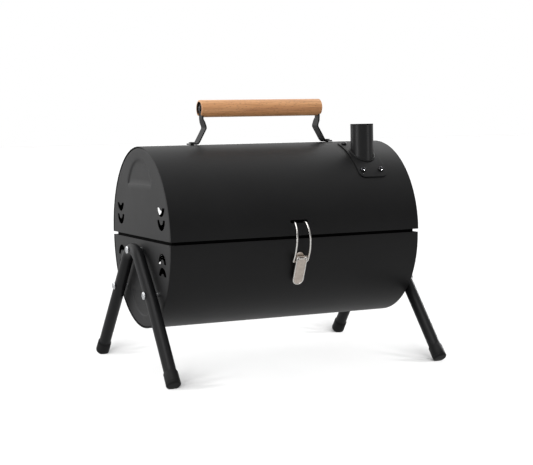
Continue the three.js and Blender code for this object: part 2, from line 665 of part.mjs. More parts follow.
// ---- Assembly ----
addTo(barrel, 'tub_shell', tubShell(), 'powder');
addTo(barrel, 'lid_shell', lidShell(), 'powder');
addTo(barrel, 'seam_lip', seamLip(), 'powder');
for (const [name, side] of Object.entries(SIDES)) {
  addTo(barrel, `tub_end_${name}`, endPanel(side, false), 'panel');
  addTo(barrel, `lid_end_${name}`, endPanel(side, true), 'panel');
  addTo(barrel, `leg_${name}`, leg(side), 'powder');
  addTo(barrel, `foot_cap_front_${name}`, footCap(side, -1), 'rubber');
  addTo(barrel, `foot_cap_rear_${name}`, footCap(side, 1), 'rubber');
  ['top', 'front', 'rear'].forEach((place, i) => legFasteners(side, `${name}_${place}`, legBolts()[i]));
  addTo(barrel, `handle_strap_${name}`, strap(side), 'powder');
  handleScrews(side, name);
  addTo(barrel, `hinge_tub_leaf_${name}`, tubLeaf(side * HINGE_X), 'powder');
  addTo(barrel, `hinge_lid_leaf_${name}`, lidLeaf(side * HINGE_X), 'powder');
  addTo(barrel, `hinge_pin_${name}`, hingePin(side * HINGE_X), 'zinc');
  const upperLedge = ledge(side, COOKING, UPPER_LEDGE_HALF, FIT);
  const lowerLedge = ledge(side, CHARCOAL, LOWER_LEDGE_HALF, FIT + EMBOSS_DEPTH);
  addTo(barrel, `cooking_ledge_${name}`, upperLedge, 'powder');
  addTo(barrel, `charcoal_ledge_${name}`, lowerLedge, 'powder');
}
addTo(barrel, 'handle_grip', grip(), 'beech');
addTo(barrel, 'chimney_saddle', saddle(), 'powder');
addTo(barrel, 'chimney_pipe', pipe(), 'powder');
saddleScrews();
addTo(latch, 'latch_base', latchBase(), 'latch');
addTo(latch, 'latch_lever', latchLever(), 'latch');
addTo(latch, 'latch_bail', latchBail(), 'latch');
addTo(latch, 'latch_pin', latchPin(), 'latch');
RIVETS.forEach((up, i) => {
  const rivet = pointing(screw(2.6, 1.3, 1.5, BASE_OUT + LATCH_SHEET + 4), vec(0, 0, 1),
    vec(0, up, BASE_OUT + LATCH_SHEET + FIT));
  addTo(latch, `latch_rivet_${i + 1}`, rivet, 'zinc');
});
addTo(barrel, 'cooking_grate', grate(COOKING), 'chrome');
addTo(barrel, 'charcoal_grate', grate(CHARCOAL), 'iron');

export default grill;
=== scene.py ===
"""Looks of the tabletop barrel charcoal grill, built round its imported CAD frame.

Shapes are worked out in millimetres in the frame's axes and become metres when a mesh is made.
"""

import json
import math

import bmesh
import bpy
import numpy as np
from mathutils import Matrix, Vector
from mathutils.geometry import delaunay_2d_cdt

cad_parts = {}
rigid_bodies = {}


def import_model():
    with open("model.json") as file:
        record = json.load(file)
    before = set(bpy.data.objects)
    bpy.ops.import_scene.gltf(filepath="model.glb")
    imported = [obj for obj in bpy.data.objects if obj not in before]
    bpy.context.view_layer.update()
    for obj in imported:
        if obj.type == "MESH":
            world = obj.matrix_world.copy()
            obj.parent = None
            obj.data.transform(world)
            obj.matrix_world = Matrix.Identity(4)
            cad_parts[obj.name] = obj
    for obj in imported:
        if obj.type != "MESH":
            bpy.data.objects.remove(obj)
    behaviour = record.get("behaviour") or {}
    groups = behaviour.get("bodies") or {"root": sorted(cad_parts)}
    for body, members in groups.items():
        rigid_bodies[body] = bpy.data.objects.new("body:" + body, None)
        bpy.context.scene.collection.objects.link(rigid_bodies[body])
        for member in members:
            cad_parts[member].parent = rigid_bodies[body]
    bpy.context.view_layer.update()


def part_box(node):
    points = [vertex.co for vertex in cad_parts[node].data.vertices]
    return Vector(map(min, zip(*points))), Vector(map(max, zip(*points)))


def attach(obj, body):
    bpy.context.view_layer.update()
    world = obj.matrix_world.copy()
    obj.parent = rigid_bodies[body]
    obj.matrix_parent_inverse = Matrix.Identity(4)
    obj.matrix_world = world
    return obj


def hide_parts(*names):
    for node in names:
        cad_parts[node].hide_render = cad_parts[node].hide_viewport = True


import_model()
MM = 0.001


def corners(node):
    """Lowest and highest corner of a CAD node, in millimetres."""
    low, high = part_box(node)
    return low / MM, high / MM


# ---- Sizes that the frame gives ----
LID_LOW, LID_HIGH = corners("lid_shell")
TUB_HIGH = corners("tub_shell")[1]
HALF = LID_HIGH.x
LID_R = LID_HIGH.y
TUB_R = TUB_HIGH.y
SEAM_Z = (LID_LOW.z + TUB_HIGH.z) / 2
RIM = (LID_LOW.z - TUB_HIGH.z) / 2
GRIP_LOW, GRIP_HIGH = corners("handle_grip")
GRIP_Z = (GRIP_LOW.z + GRIP_HIGH.z) / 2
GRIP_R = (GRIP_HIGH.z - GRIP_LOW.z) / 2
PIPE_LOW, PIPE_HIGH = corners("chimney_pipe")
PIPE_X = (PIPE_LOW.x + PIPE_HIGH.x) / 2
PIPE_Y = (PIPE_LOW.y + PIPE_HIGH.y) / 2
PIPE_R = (PIPE_HIGH.x - PIPE_LOW.x) / 2

# ---- Sizes shared with the CAD source; heights are above the seam ----
SHEET = 1.2
FIT = 0.3
PANEL_RECESS = 0.4
PANEL_GAUGE = 0.7
CAP_DEPTH = 7
EMBOSS = {"r": 48.5, "chord": 66, "depth": 1}
VENT_Y, VENT_R = 78, 13.4
VENTS = [(26.8, 6.4, 26.3), (43.5, 6, 40.8)]
DRAUGHT = {"lid": (106, 25, 6.5), "tub": (104, -45, 3.6)}
LIP = {"x": 162.3, "y": 106.8, "corner": 6, "low": -8.2, "high": 5}
SLOT = {"half": 11.5, "low": 17.2, "high": 20.8}
LEG_R, LEG_GAP, LEG_BEND_R = 7.6, 1.8, 31
LEG_APEX, LEG_UPPER, LEG_LOWER, LEG_LEAN = -13.6, 42.1, 40.2, 1.4
LEG_KINK = (67.5, -73)
LEG_BOLT = (59.6, -64.2)
CAP_R, CAP_LENGTH, CAP_END, CAP_FLAT, CAP_FIT = 8.9, 18.5, 3, 1.8, 0.35
BOLT_R, BOLT_HEAD, BOLT_SHANK, NUT_R, NUT_HEIGHT = 4.7, 1.9, 2.5, 4.6, 4
STRAP_LINE = [(99.5, None), (88.5, None), (77.3, 134.2), (81, -13), (81, 6)]
STRAP_WIDTH, STRAP_TAB, STRAP_GAUGE, STRAP_SCREW_X = 16, 12, 1.8, 94.2
RECESS_R = 8.5
PIPE_WALL = 1
SADDLE_ANGLE, SADDLE_HALF_WIDTH, SADDLE_HALF_LENGTH, SADDLE_CORNER = 122.5, 19.5, 40.5, 8
SADDLE_SCREWS = (12.6, 30.4)
PIPE_RIM = 1.3
HINGE_X, HINGE_Y, HINGE_HALF, HINGE_MIDDLE = 70, 114.9, 18, 6
HINGE_ROLL, HINGE_PIN_R, HINGE_DEGREES = 2.55, 1.5, 16
LATCH_X, LATCH_DEGREES = -0.3, 16.4
LEVER_PIN, BAIL_PIN = (10.5, 5), (4.8, 4.6)
LEVER_TILT, LEVER_WIDTH, LEVER_TAIL, WIRE_R = 8, 14.5, 36.5, 1.1
RIVETS, BASE_OUT = (-8.5, 0.5), 0.6
GRATE_HALF = 155
COOKING = {"z": -22, "half": 103, "bars": 23, "bar": 3}
CHARCOAL = {"z": -68, "half": 79, "bars": 21, "bar": 3.4}
LEDGE_REACH, LEDGE_DROP = 14, 12

# ---- Working values ----
AXIS_R = 1e-4  # a lathe's ring on the axis stays this wide
SKEW = (0.31, 0.17, 0.93)  # a direction that no tube's path starts along
SIDES = ((-1, "left"), (1, "right"))
RANGE_SOCKETS = ("From Min", "From Max", "To Min", "To Max")
SCREW_HOLE = 2.1


# ---- Flat outlines ----
def arc(u, v, r, start, end, steps):
    a = np.radians(np.linspace(start, end, steps + 1))
    return np.stack([u + r * np.cos(a), v + r * np.sin(a)], 1)


def circle(u, v, r, steps=32):
    return arc(u, v, r, 0, 360, steps)[:-1]


def filleted(line, radius, steps=6, closed=False):
    """A polyline with its corners rounded; radius is one number or one for each point."""
    line = np.asarray(line, float)
    radii = np.broadcast_to(radius, len(line))
    made = []
    for i, point in enumerate(line):
        if not closed and i in (0, len(line) - 1) or radii[i] == 0:
            made.append(point)
            continue
        back = line[i - 1] - point
        ahead = line[(i + 1) % len(line)] - point
        back /= np.linalg.norm(back)
        ahead /= np.linalg.norm(ahead)
        half = math.acos(np.clip(back @ ahead, -1, 1)) / 2
        if half > math.radians(89.5):
            made.append(point)
            continue
        middle = point + (back + ahead) / np.linalg.norm(back + ahead) * radii[i] / math.sin(half)
        first = point + back * radii[i] / math.tan(half) - middle
        last = point + ahead * radii[i] / math.tan(half) - middle
        for t in np.linspace(0, 1, steps + 1):
            spoke = first * (1 - t) + last * t
            made.append(middle + spoke / np.linalg.norm(spoke) * radii[i])
    return np.array(made)


def rounded_box(u, v, half_u, half_v, r, steps=6):
    box = [(u + a * half_u, v + b * half_v) for a, b in ((-1, -1), (1, -1), (1, 1), (-1, 1))]
    return filleted(box, r, steps, closed=True)


def divided(loop, step):
    """A closed loop with points no further apart than step."""
    loop = np.asarray(loop, float)
    made = []
    for a, b in zip(loop, np.roll(loop, -1, 0)):
        count = max(1, math.ceil(np.linalg.norm(b - a) / step))
        made.extend(a + (b - a) * i / count for i in range(count))
    return np.array(made)


def inside(points, loop):
    x, y = points[:, 0], points[:, 1]
    hit = np.zeros(len(points), bool)
    for (x0, y0), (x1, y1) in zip(loop, np.roll(loop, -1, 0)):
        if y0 != y1:
            hit ^= ((y0 > y) != (y1 > y)) & (x < x0 + (y - y0) * (x1 - x0) / (y1 - y0))
    return hit


def clearance(points, loop):
    """Distance of each point from a closed loop."""
    best = np.full(len(points), np.inf)
    for a, b in zip(loop, np.roll(loop, -1, 0)):
        along = b - a
        t = np.clip((points - a) @ along / (along @ along), 0, 1)
        best = np.minimum(best, np.linalg.norm(points - a - t[:, None] * along, axis=1))
    return best


# ---- Shapes: each is (points, faces) of closed surfaces ----
def triangulated(outer, holes, step, extra):
    steps = np.broadcast_to(step, 2).astype(float)
    loops = [divided(loop, steps.max()) for loop in (outer, *holes)]
    low, high = loops[0].min(0), loops[0].max(0)
    counts = np.ceil((high - low) / steps).astype(int) + 1
    lines = [np.linspace(low[k], high[k], max(3, counts[k]))[1:-1] for k in (0, 1)]
    grid = np.stack(np.meshgrid(*lines), -1).reshape(-1, 2)
    if len(extra):
        near = np.min(np.linalg.norm(grid[:, None] - extra[None], axis=2), 1) < 0.45 * steps.min()
        grid = np.concatenate([grid[~near], extra])
    keep = inside(grid, loops[0])
    for hole in loops[1:]:
        keep &= ~inside(grid, hole)
    for loop in loops:
        keep &= clearance(grid, loop) > 0.35 * steps.min()
    edges, start = [], 0
    for loop in loops:
        edges += [(start + i, start + (i + 1) % len(loop)) for i in range(len(loop))]
        start += len(loop)
    points = np.concatenate([*loops, grid[keep]])
    flat, _, faces, *_ = delaunay_2d_cdt([Vector(p) for p in points], edges, [], 0, 1e-6)
    flat, faces = np.array([tuple(p) for p in flat]), np.array(faces)
    middle = flat[faces].mean(1)
    keep = inside(middle, loops[0])
    for hole in loops[1:]:
        keep &= ~inside(middle, hole)
    faces = faces[keep]
    a, b, c = flat[faces[:, 0]], flat[faces[:, 1]], flat[faces[:, 2]]
    turned = np.cross(b - a, c - a) < 0
    faces[turned] = faces[turned][:, ::-1]
    return flat, faces


def sheet(outer, holes, step, front, back, extra=()):
    """A plate with holes, drawn flat and carried to its place by front and back."""
    flat, faces = triangulated(outer, holes, step, np.asarray(extra, float).reshape(-1, 2))
    count = len(flat)
    made = [tuple(f) for f in faces] + [tuple(count + i for i in f[::-1]) for f in faces]
    directed = {(f[i], f[(i + 1) % 3]) for f in faces for i in range(3)}
    made += [(b, a, a + count, b + count) for a, b in directed if (b, a) not in directed]
    return np.concatenate([front(flat), back(flat)]), made


def level(place, gauge, out=0):
    """Front and back of a flat plate: place(u, v, height) gives points."""
    return (lambda flat: place(flat[:, 0], flat[:, 1], np.full(len(flat), out + gauge)),
            lambda flat: place(flat[:, 0], flat[:, 1], np.full(len(flat), float(out))))


def bent(line, gauge, place):
    """Front and back of a strip that follows a line in a plane, and the line's length."""
    line = np.asarray(line, float)
    along = np.concatenate([[0], np.cumsum(np.linalg.norm(np.diff(line, axis=0), axis=1))])
    tangent = np.gradient(line, along, axis=0)

    def side(sign):
        def points(flat):
            a, b, ta, tb = (np.interp(flat[:, 0], along, row)
                            for row in (line[:, 0], line[:, 1], tangent[:, 0], tangent[:, 1]))
            size = np.hypot(ta, tb) / (sign * gauge / 2)
            return place(a - tb / size, b + ta / size, flat[:, 1])
        return points
    return side(1), side(-1), along[-1]


def rolled(radius, centre_z, start, gauge):
    """Front and back of a sheet rolled round the barrel's axis; u is the arc length, v is x."""
    def skin(r):
        def points(flat):
            a = math.radians(start) + flat[:, 0] / radius
            return np.stack([flat[:, 1], r * np.cos(a), centre_z + r * np.sin(a)], 1)
        return points
    return skin(radius), skin(radius - gauge)


def rings(loops, closed=False):
    """A skin through rings of equal length; open ends are capped."""
    count = len(loops[0])
    faces = []
    pairs = len(loops) if closed else len(loops) - 1
    for i in range(pairs):
        j = (i + 1) % len(loops)
        for k in range(count):
            m = (k + 1) % count
            faces.append((i * count + k, i * count + m, j * count + m, j * count + k))
    if not closed:
        faces.append(tuple(range(count))[::-1])
        faces.append(tuple((len(loops) - 1) * count + k for k in range(count)))
    return np.concatenate(loops), faces


def around(sides):
    return np.linspace(0, 2 * np.pi, sides, endpoint=False)


def hoop(a, r, z):
    """A ring round the Z axis at the angles a, with one radius or one for each angle."""
    return np.stack([r * np.cos(a), r * np.sin(a), np.full(len(a), float(z))], 1)


def lathe(profile, sides=40):
    """Turned round +Z from (radius, height) pairs that start and end on the axis."""
    return rings([hoop(around(sides), max(r, AXIS_R), z) for r, z in profile])


def tube(path, radius, sides=24, closed=False, round_ends=False):
    path = np.asarray(path, float)
    scale = np.full(len(path), float(radius))
    if round_ends:
        turn = np.radians([30, 60, 85])
        first, last = path[0] - path[1], path[-1] - path[-2]
        first, last = first / np.linalg.norm(first), last / np.linalg.norm(last)
        head = [path[0] + first * radius * math.sin(t) for t in turn[::-1]]
        tail = [path[-1] + last * radius * math.sin(t) for t in turn]
        path = np.concatenate([head, path, tail])
        small = radius * np.cos(turn)
        scale = np.concatenate([small[::-1], scale, small])
    step = np.roll(path, -1, 0) - path
    step /= np.linalg.norm(step, axis=1)[:, None]
    if not closed:
        step[-1] = step[-2]
    tangent = step + np.roll(step, 1, 0)
    if not closed:
        tangent[0] = step[0]
    tangent /= np.linalg.norm(tangent, axis=1)[:, None]
    across = np.cross(tangent[0], SKEW)
    a = around(sides)
    loops = []
    for point, t, r in zip(path, tangent, scale):
        across = across - t * (across @ t)
        across /= np.linalg.norm(across)
        other = np.cross(t, across)
        loops.append(point + r * (np.cos(a)[:, None] * across + np.sin(a)[:, None] * other))
    return rings(loops, closed)


def flowing(points, steps=8):
    """A smooth curve through points."""
    points = np.asarray(points, float)
    p = np.concatenate([[2 * points[0] - points[1]], points, [2 * points[-1] - points[-2]]])
    made = []
    for i in range(1, len(p) - 2):
        for t in np.arange(steps) / steps:
            made.append(0.5 * (2 * p[i] + (p[i + 1] - p[i - 1]) * t
                               + (2 * p[i - 1] - 5 * p[i] + 4 * p[i + 1] - p[i + 2]) * t * t
                               + (3 * p[i] - p[i - 1] - 3 * p[i + 1] + p[i + 2]) * t ** 3))
    return np.array([*made, points[-1]])


def together(*shapes):
    points, faces, start = [], [], 0
    for shape_points, shape_faces in shapes:
        points.append(np.asarray(shape_points))
        faces += [tuple(start + i for i in face) for face in shape_faces]
        start += len(shape_points)
    return np.concatenate(points), faces


def outward(angle):
    """The direction out of the barrel at an angle round it from +Y."""
    return np.array([0, math.cos(math.radians(angle)), math.sin(math.radians(angle))])


def pointing(shape, direction, at):
    """The shape with its +Z turned to a direction and moved to a point."""
    turn = np.array(Vector((0, 0, 1)).rotation_difference(Vector(direction)).to_matrix())
    return np.asarray(shape[0]) @ turn.T + np.array(at, float), shape[1]


def fastener(head_r, head_h, shank_r, shank_length, recess=0.52, sides=40):
    """A pan head with a cross recess on a shank, the head's underside at 0."""
    a = around(sides)
    cos, sin = np.maximum(np.abs(np.cos(a)), 1e-6), np.maximum(np.abs(np.sin(a)), 1e-6)
    arm, half = recess * head_r, 0.17 * head_r
    cross = np.maximum(np.minimum(arm / cos, half / sin), np.minimum(arm / sin, half / cos))
    flat = 1.1 * recess * head_r
    profile = [(0.6 * shank_r, -shank_length), (shank_r, 0.6 * shank_r - shank_length), (shank_r, 0),
               (0.96 * head_r, 0), (head_r, 0.12 * head_h)]
    for t in np.radians([0, 20, 40, 60, 75, 90]):
        profile.append((flat + (head_r - flat) * math.cos(t), head_h * (0.35 + 0.65 * math.sin(t))))
    profile += [(cross, head_h), (0.8 * cross, 0.45 * head_h), (0.1 * cross, 0.3 * head_h)]
    return rings([hoop(a, r, z) for r, z in profile])


def dome(r, height, shank_r, shank_length, sides=32):
    """A rivet head on its shank."""
    top = [(r * math.cos(t), height * math.sin(t)) for t in np.radians([0, 15, 30, 45, 60, 75, 88])]
    return lathe([(0, -shank_length), (shank_r, -shank_length), (shank_r, 0), (r, 0), *top[1:]], sides)


def rod(start, end, r, sides=16, chamfer=0.3):
    """A straight pin with chamfered ends."""
    length = np.linalg.norm(np.subtract(end, start))
    tip = r - chamfer
    profile = [(0, 0), (tip, 0), (r, chamfer), (r, length - chamfer), (tip, length), (0, length)]
    return pointing(lathe(profile, sides), np.subtract(end, start), start)


# ---- Materials ----
class Tree:
    """A node tree and ways to add to it."""

    def __init__(self, tree):
        self.nodes = tree.nodes
        self.links = tree.links

    def add(self, kind, **settings):
        node = self.nodes.new(kind)
        for key, value in settings.items():
            setattr(node, key, value)
        return node

    def remapped(self, value, low, high, to_low, to_high, **settings):
        node = self.add("ShaderNodeMapRange", **settings)
        self.links.new(value, node.inputs["Value"])
        for socket, number in zip(RANGE_SOCKETS, (low, high, to_low, to_high)):
            node.inputs[socket].default_value = number
        return node.outputs["Result"]

    def axes(self, place):
        node = self.add("ShaderNodeSeparateXYZ")
        self.links.new(place, node.inputs[0])
        return node.outputs


class Finish(Tree):
    """A node material whose noise is set in the frame's metres."""

    def __init__(self, name, **sockets):
        self.material = bpy.data.materials.new(name)
        self.material.use_nodes = True
        super().__init__(self.material.node_tree)
        self.shader = self.nodes["Principled BSDF"]
        for socket, value in sockets.items():
            self.shader.inputs[socket.replace("_", " ")].default_value = value
        self.place = self.nodes.new("ShaderNodeTexCoord").outputs["Object"]

    def stretched(self, scale):
        node = self.add("ShaderNodeMapping")
        node.inputs["Scale"].default_value = scale
        self.links.new(self.place, node.inputs["Vector"])
        return node.outputs["Vector"]

    def noise(self, scale, detail=2.0, rough=0.5, where=None, distortion=0.0):
        node = self.add("ShaderNodeTexNoise")
        node.inputs["Scale"].default_value = scale
        node.inputs["Detail"].default_value = detail
        node.inputs["Roughness"].default_value = rough
        node.inputs["Distortion"].default_value = distortion
        self.links.new(where or self.place, node.inputs["Vector"])
        return node.outputs["Fac"]

    def ramp(self, value, *stops):
        node = self.add("ShaderNodeValToRGB")
        band = node.color_ramp
        while len(band.elements) < len(stops):
            band.elements.new(0.5)
        for element, (position, colour) in zip(band.elements, stops):
            element.position = position
            element.color = (*colour, 1)
        self.links.new(value, node.inputs["Fac"])
        return node.outputs["Color"]

    def mixed(self, share, a, b, mode="MIX"):
        node = self.add("ShaderNodeMix", data_type="RGBA", blend_type=mode)
        for socket, value in ((node.inputs[0], share), (node.inputs[6], a), (node.inputs[7], b)):
            if isinstance(value, (int, float, tuple)):
                socket.default_value = value
            else:
                self.links.new(value, socket)
        return node.outputs[2]

    def colour(self, value):
        self.links.new(value, self.shader.inputs["Base Color"])

    def roughness(self, value):
        self.links.new(value, self.shader.inputs["Roughness"])

    def bump(self, *layers):
        """Each layer is (height, strength, depth in metres); later ones ride on earlier ones."""
        normal = None
        for height, strength, depth in layers:
            node = self.add("ShaderNodeBump")
            node.inputs["Strength"].default_value = strength
            node.inputs["Distance"].default_value = depth
            self.links.new(height, node.inputs["Height"])
            if normal:
                self.links.new(normal, node.inputs["Normal"])
            normal = node.outputs["Normal"]
        self.links.new(normal, self.shader.inputs["Normal"])


def powder_coat(name, dark, light, rough, gloss):
    """Satin powder coat: fine orange peel, faint mottling and uneven gloss."""
    f = Finish(name, Specular_IOR_Level=gloss)
    mottle = f.noise(14, 4, 0.55)
    peel = f.noise(1300, 2, 0.6)
    f.colour(f.ramp(mottle, (0.3, dark), (0.7, light)))
    grain = f.mixed(0.35, mottle, peel)
    f.roughness(f.remapped(grain, 0.3, 0.7, rough - 0.04, rough + 0.05))
    f.bump((f.noise(160, 2), 0.12, 0.0004), (peel, 0.3, 0.00012))
    return f.material


def recess(f):
    """1 inside the hollow of the grip's ends, where the wood is painted near black as shade, 0 on its
    outside.
    """
    parts = f.axes(f.place)
    flat = f.add("ShaderNodeCombineXYZ")
    for axis in "YZ":
        f.links.new(parts[axis], flat.inputs[axis])
    away = f.add("ShaderNodeVectorMath", operation="DISTANCE")
    f.links.new(flat.outputs[0], away.inputs[0])
    away.inputs[1].default_value = (0, 0, GRIP_Z * MM)
    return f.remapped(away.outputs["Value"], (RECESS_R + 0.1) * MM, (RECESS_R + 0.5) * MM, 1, 0)


def beech():
    """Varnished beech along X: soft year bands, fibres and short dark rays, with painted shade inside the
    hollow ends.
    """
    f = Finish("beech")
    broad = f.noise(1, 3, 0.5, f.stretched((5, 95, 95)), 0.6)
    fibre = f.noise(1, 4, 0.65, f.stretched((24, 900, 900)))
    bands = f.ramp(broad, (0.3, (0.66, 0.31, 0.13)), (0.5, (0.79, 0.405, 0.182)), (0.7, (0.87, 0.49, 0.24)))
    fibres = f.ramp(fibre, (0.32, (0.62, 0.52, 0.43)), (0.56, (1, 1, 1)))
    toned = f.mixed(0.85, bands, fibres, "MULTIPLY")
    ray = f.add("ShaderNodeTexVoronoi")
    ray.inputs["Scale"].default_value = 1
    f.links.new(f.stretched((150, 800, 800)), ray.inputs["Vector"])
    fleck = f.remapped(ray.outputs["Distance"], 0.06, 0.3, 0.75, 0)
    # Painted shade: the wood inside each hollow end is near black.
    f.colour(f.mixed(recess(f), f.mixed(fleck, toned, (0.2, 0.07, 0.025, 1)), (0.03, 0.02, 0.012, 1)))
    f.roughness(f.remapped(fibre, 0.3, 0.7, 0.42, 0.6))
    f.bump((fibre, 0.25, 0.0002), (broad, 0.1, 0.0003))
    f.shader.inputs["Coat Weight"].default_value = 0.15
    f.shader.inputs["Coat Roughness"].default_value = 0.35
    return f.material


def shade_behind_slot(f):
    """1 on the hook's end inside the lid, which is painted near black as shade within the slot."""
    edge = -math.sqrt(LID_R ** 2 - SLOT["low"] ** 2)
    return f.remapped(f.axes(f.place)["Y"], (edge - 0.6) * MM, (edge + 0.2) * MM, 0, 1)


def metal(name, dark, light, rough, marking=(400, 400, 400), strength=0.15, painted_shade=None):
    """Bare or plated metal: patchy tone, rubbing marks along one direction and uneven polish. Where a shade
    mask is given, its area is painted near black as shade.
    """
    f = Finish(name, Metallic=1.0)
    patch = f.noise(260, 3, 0.6)
    marks = f.noise(1, 3, 0.6, f.stretched(marking))
    tone = f.ramp(patch, (0.3, dark), (0.7, light))
    # Painted shade: near black where the shade mask gives 1.
    f.colour(f.mixed(painted_shade(f), tone, (0.004, 0.004, 0.004, 1)) if painted_shade else tone)
    f.roughness(f.remapped(f.mixed(0.5, patch, marks), 0.3, 0.7, rough - 0.07, rough + 0.09))
    f.bump((marks, strength, 0.00006))
    return f.material


def rubber():
    f = Finish("rubber")
    cloud = f.noise(45, 3, 0.6)
    grit = f.noise(1900, 2, 0.6)
    f.colour(f.ramp(cloud, (0.3, (0.005, 0.005, 0.0055)), (0.75, (0.011, 0.011, 0.0115))))
    f.roughness(f.remapped(cloud, 0.3, 0.7, 0.5, 0.62))
    f.shader.inputs["Specular IOR Level"].default_value = 0.2
    f.bump((grit, 0.35, 0.0001))
    return f.material


COAT = "black_powder_coat"
UP_THE_LATCH = (900, 120, 120)  # the way its rubbing marks run
WIRE = (0.8, 0.765, 0.73), (0.92, 0.9, 0.875), 0.17, (300, 900, 900)

LOOK = {
    "shell": (powder_coat(COAT, (0.0065, 0.0065, 0.0069), (0.009, 0.009, 0.0094), 0.44, 0.24), COAT),
    # The legs and the pipe take a darker and a lighter copy of the shell's black coat: painted shade on the
    # legs, painted light on the pipe.
    "tube": (powder_coat("shaded_tube_coat", (0.0055, 0.0055, 0.0062), (0.008, 0.008, 0.0088), 0.38, 0.2),
             COAT),
    "pipe": (powder_coat("lit_pipe_coat", (0.0075, 0.0075, 0.008), (0.0105, 0.0105, 0.011), 0.36, 0.3),
             COAT),
    "panel": (powder_coat("end_panel_coat", (0.014, 0.014, 0.0145), (0.018, 0.018, 0.0186), 0.5, 0.26),
              "end_panel_coat"),
    "dark": (metal("dark_zinc", (0.03, 0.03, 0.032), (0.08, 0.08, 0.084), 0.1), "dark_zinc"),
    "beech": (beech(), "beech"),
    "zinc": (metal("zinc", (0.62, 0.63, 0.65), (0.8, 0.81, 0.82), 0.28), "zinc"),
    # One latch steel in three tones: the lever's plate, a lighter copy on the base plate, painted light on
    # its top, and the wire's tone on the lever's rolled rim, a painted highlight.
    "latch": (metal("latch_plate", (0.52, 0.455, 0.4), (0.66, 0.59, 0.53), 0.36, UP_THE_LATCH),
              "latch_plate"),
    "base": (metal("latch_base_plate", (0.62, 0.55, 0.48), (0.76, 0.69, 0.62), 0.3, UP_THE_LATCH),
             "latch_plate"),
    # A near-black matte coat: painted shade on the tub's seam lip and at the pipe's mouth, and the strap's
    # foot screw heads.
    "flat_black": (powder_coat("flat_black_coat", (0.002, 0.002, 0.002), (0.004, 0.004, 0.004), 0.8, 0.03), COAT),
    "rim_highlight": (metal("latch_rim_highlight", *WIRE), "latch_plate"),
    # The bail's end inside the lid is painted near black as shade.
    "wire": (metal("latch_bail_wire", *WIRE, painted_shade=shade_behind_slot), "latch_plate"),
    "chrome": (metal("chromed_wire", (0.55, 0.56, 0.57), (0.72, 0.73, 0.74), 0.2), "chromed_wire"),
    "iron": (metal("grey_wire", (0.05, 0.05, 0.052), (0.1, 0.098, 0.095), 0.5, strength=0.4), "grey_wire"),
    "rubber": (rubber(), "rubber"),
}


# ---- Pieces ----
def mesh_of(name, points, faces, weld=0.0):
    """A mesh with its faces turned outwards; points closer than weld become one."""
    mesh = bpy.data.meshes.new(name)
    mesh.from_pydata([tuple(p) for p in points], [], [tuple(map(int, f)) for f in faces])
    bm = bmesh.new()
    bm.from_mesh(mesh)
    if weld:
        bmesh.ops.remove_doubles(bm, verts=bm.verts, dist=weld)
    bmesh.ops.recalc_face_normals(bm, faces=bm.faces)
    bm.to_mesh(mesh)
    bm.free()
    return mesh


def linked(name, data):
    made = bpy.data.objects.new(name, data)
    bpy.context.scene.collection.objects.link(made)
    return made


def piece(node, kind, shape, look, body, edge=0.0, sharp=32.0):
    """A mesh that rides on a body in place of a CAD node, its edges rounded by edge millimetres."""
    points, faces = shape
    name = f"{node}_{kind}"
    mesh = mesh_of(name, np.asarray(points, float) * MM, faces, 2e-7)
    mesh.shade_smooth()
    mesh.set_sharp_from_angle(angle=math.radians(sharp))
    made = linked(name, mesh)
    material, slot = LOOK[look]
    mesh.materials.append(material)
    if edge:
        bevel = made.modifiers.new("edge", "BEVEL")
        bevel.width = edge * MM
        bevel.segments = 2
        bevel.limit_method = "ANGLE"
        bevel.angle_limit = math.radians(40)
        bevel.harden_normals = True
    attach(made, body)
    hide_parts(node)


def carved(shape, *tools):
    """The shape less the tools."""
    base, *cutters = [linked("carving", mesh_of("carving", np.asarray(points, float), faces))
                      for points, faces in (shape, *tools)]
    for cutter in cutters:
        modifier = base.modifiers.new("cut", "BOOLEAN")
        modifier.operation = "DIFFERENCE"
        modifier.solver = "MANIFOLD"
        modifier.object = cutter
    bpy.context.view_layer.update()
    solid = base.evaluated_get(bpy.context.evaluated_depsgraph_get()).to_mesh()
    points = np.array([tuple(v.co) for v in solid.vertices])
    faces = [tuple(p.vertices) for p in solid.polygons]
    for thing in (base, *cutters):
        mesh = thing.data
        bpy.data.objects.remove(thing)
        bpy.data.meshes.remove(mesh)
    return points, faces


def block(low, high):
    points = np.array([[(low, high)[k >> i & 1][i] for i in range(3)] for k in range(8)], float)
    return points, [(0, 2, 3, 1), (4, 5, 7, 6), (0, 1, 5, 4), (2, 6, 7, 3), (0, 4, 6, 2), (1, 3, 7, 5)]


def half_barrel(body, r, z, turn, holes):
    outline = [(0, -HALF), (math.pi * r, -HALF), (math.pi * r, HALF), (0, HALF)]
    skin = sheet(outline, holes, (5.5, 7), *rolled(r, z, turn, SHEET))
    piece(f"{body}_shell", "rolled", skin, "shell", body, 0.3)


def shells():
    r = LID_R
    slot = [math.asin((SLOT[k] - RIM) / r) for k in ("low", "high")]
    holes = [rounded_box(r * (math.pi - sum(slot) / 2), 0, r * (slot[1] - slot[0]) / 2, SLOT["half"], 1.7)]
    x, z, draught_r = DRAUGHT["lid"]
    holes += [circle(r * math.asin((z - RIM) / r), at, draught_r) for at in (-x, x)]
    holes += [circle(r * math.pi / 2, side * STRAP_SCREW_X, 2.3, 16) for side in (-1, 1)]
    holes += [circle(r * math.radians(angle), x, SCREW_HOLE, 16) for x, angle in saddle_screws()]
    flue = circle(PIPE_X, PIPE_Y, PIPE_R - PIPE_WALL - 0.8, 40)
    holes.append(np.stack([r * np.arccos(flue[:, 1] / r), flue[:, 0]], 1))
    half_barrel("lid", r, LID_LOW.z, 0, holes)
    r = TUB_R
    x, z, draught_r = DRAUGHT["tub"]
    holes = [circle(r * (math.pi - math.asin((-RIM - z) / r)), at, draught_r) for at in (-x, x)]
    half_barrel("tub", r, TUB_HIGH.z, 180, holes)


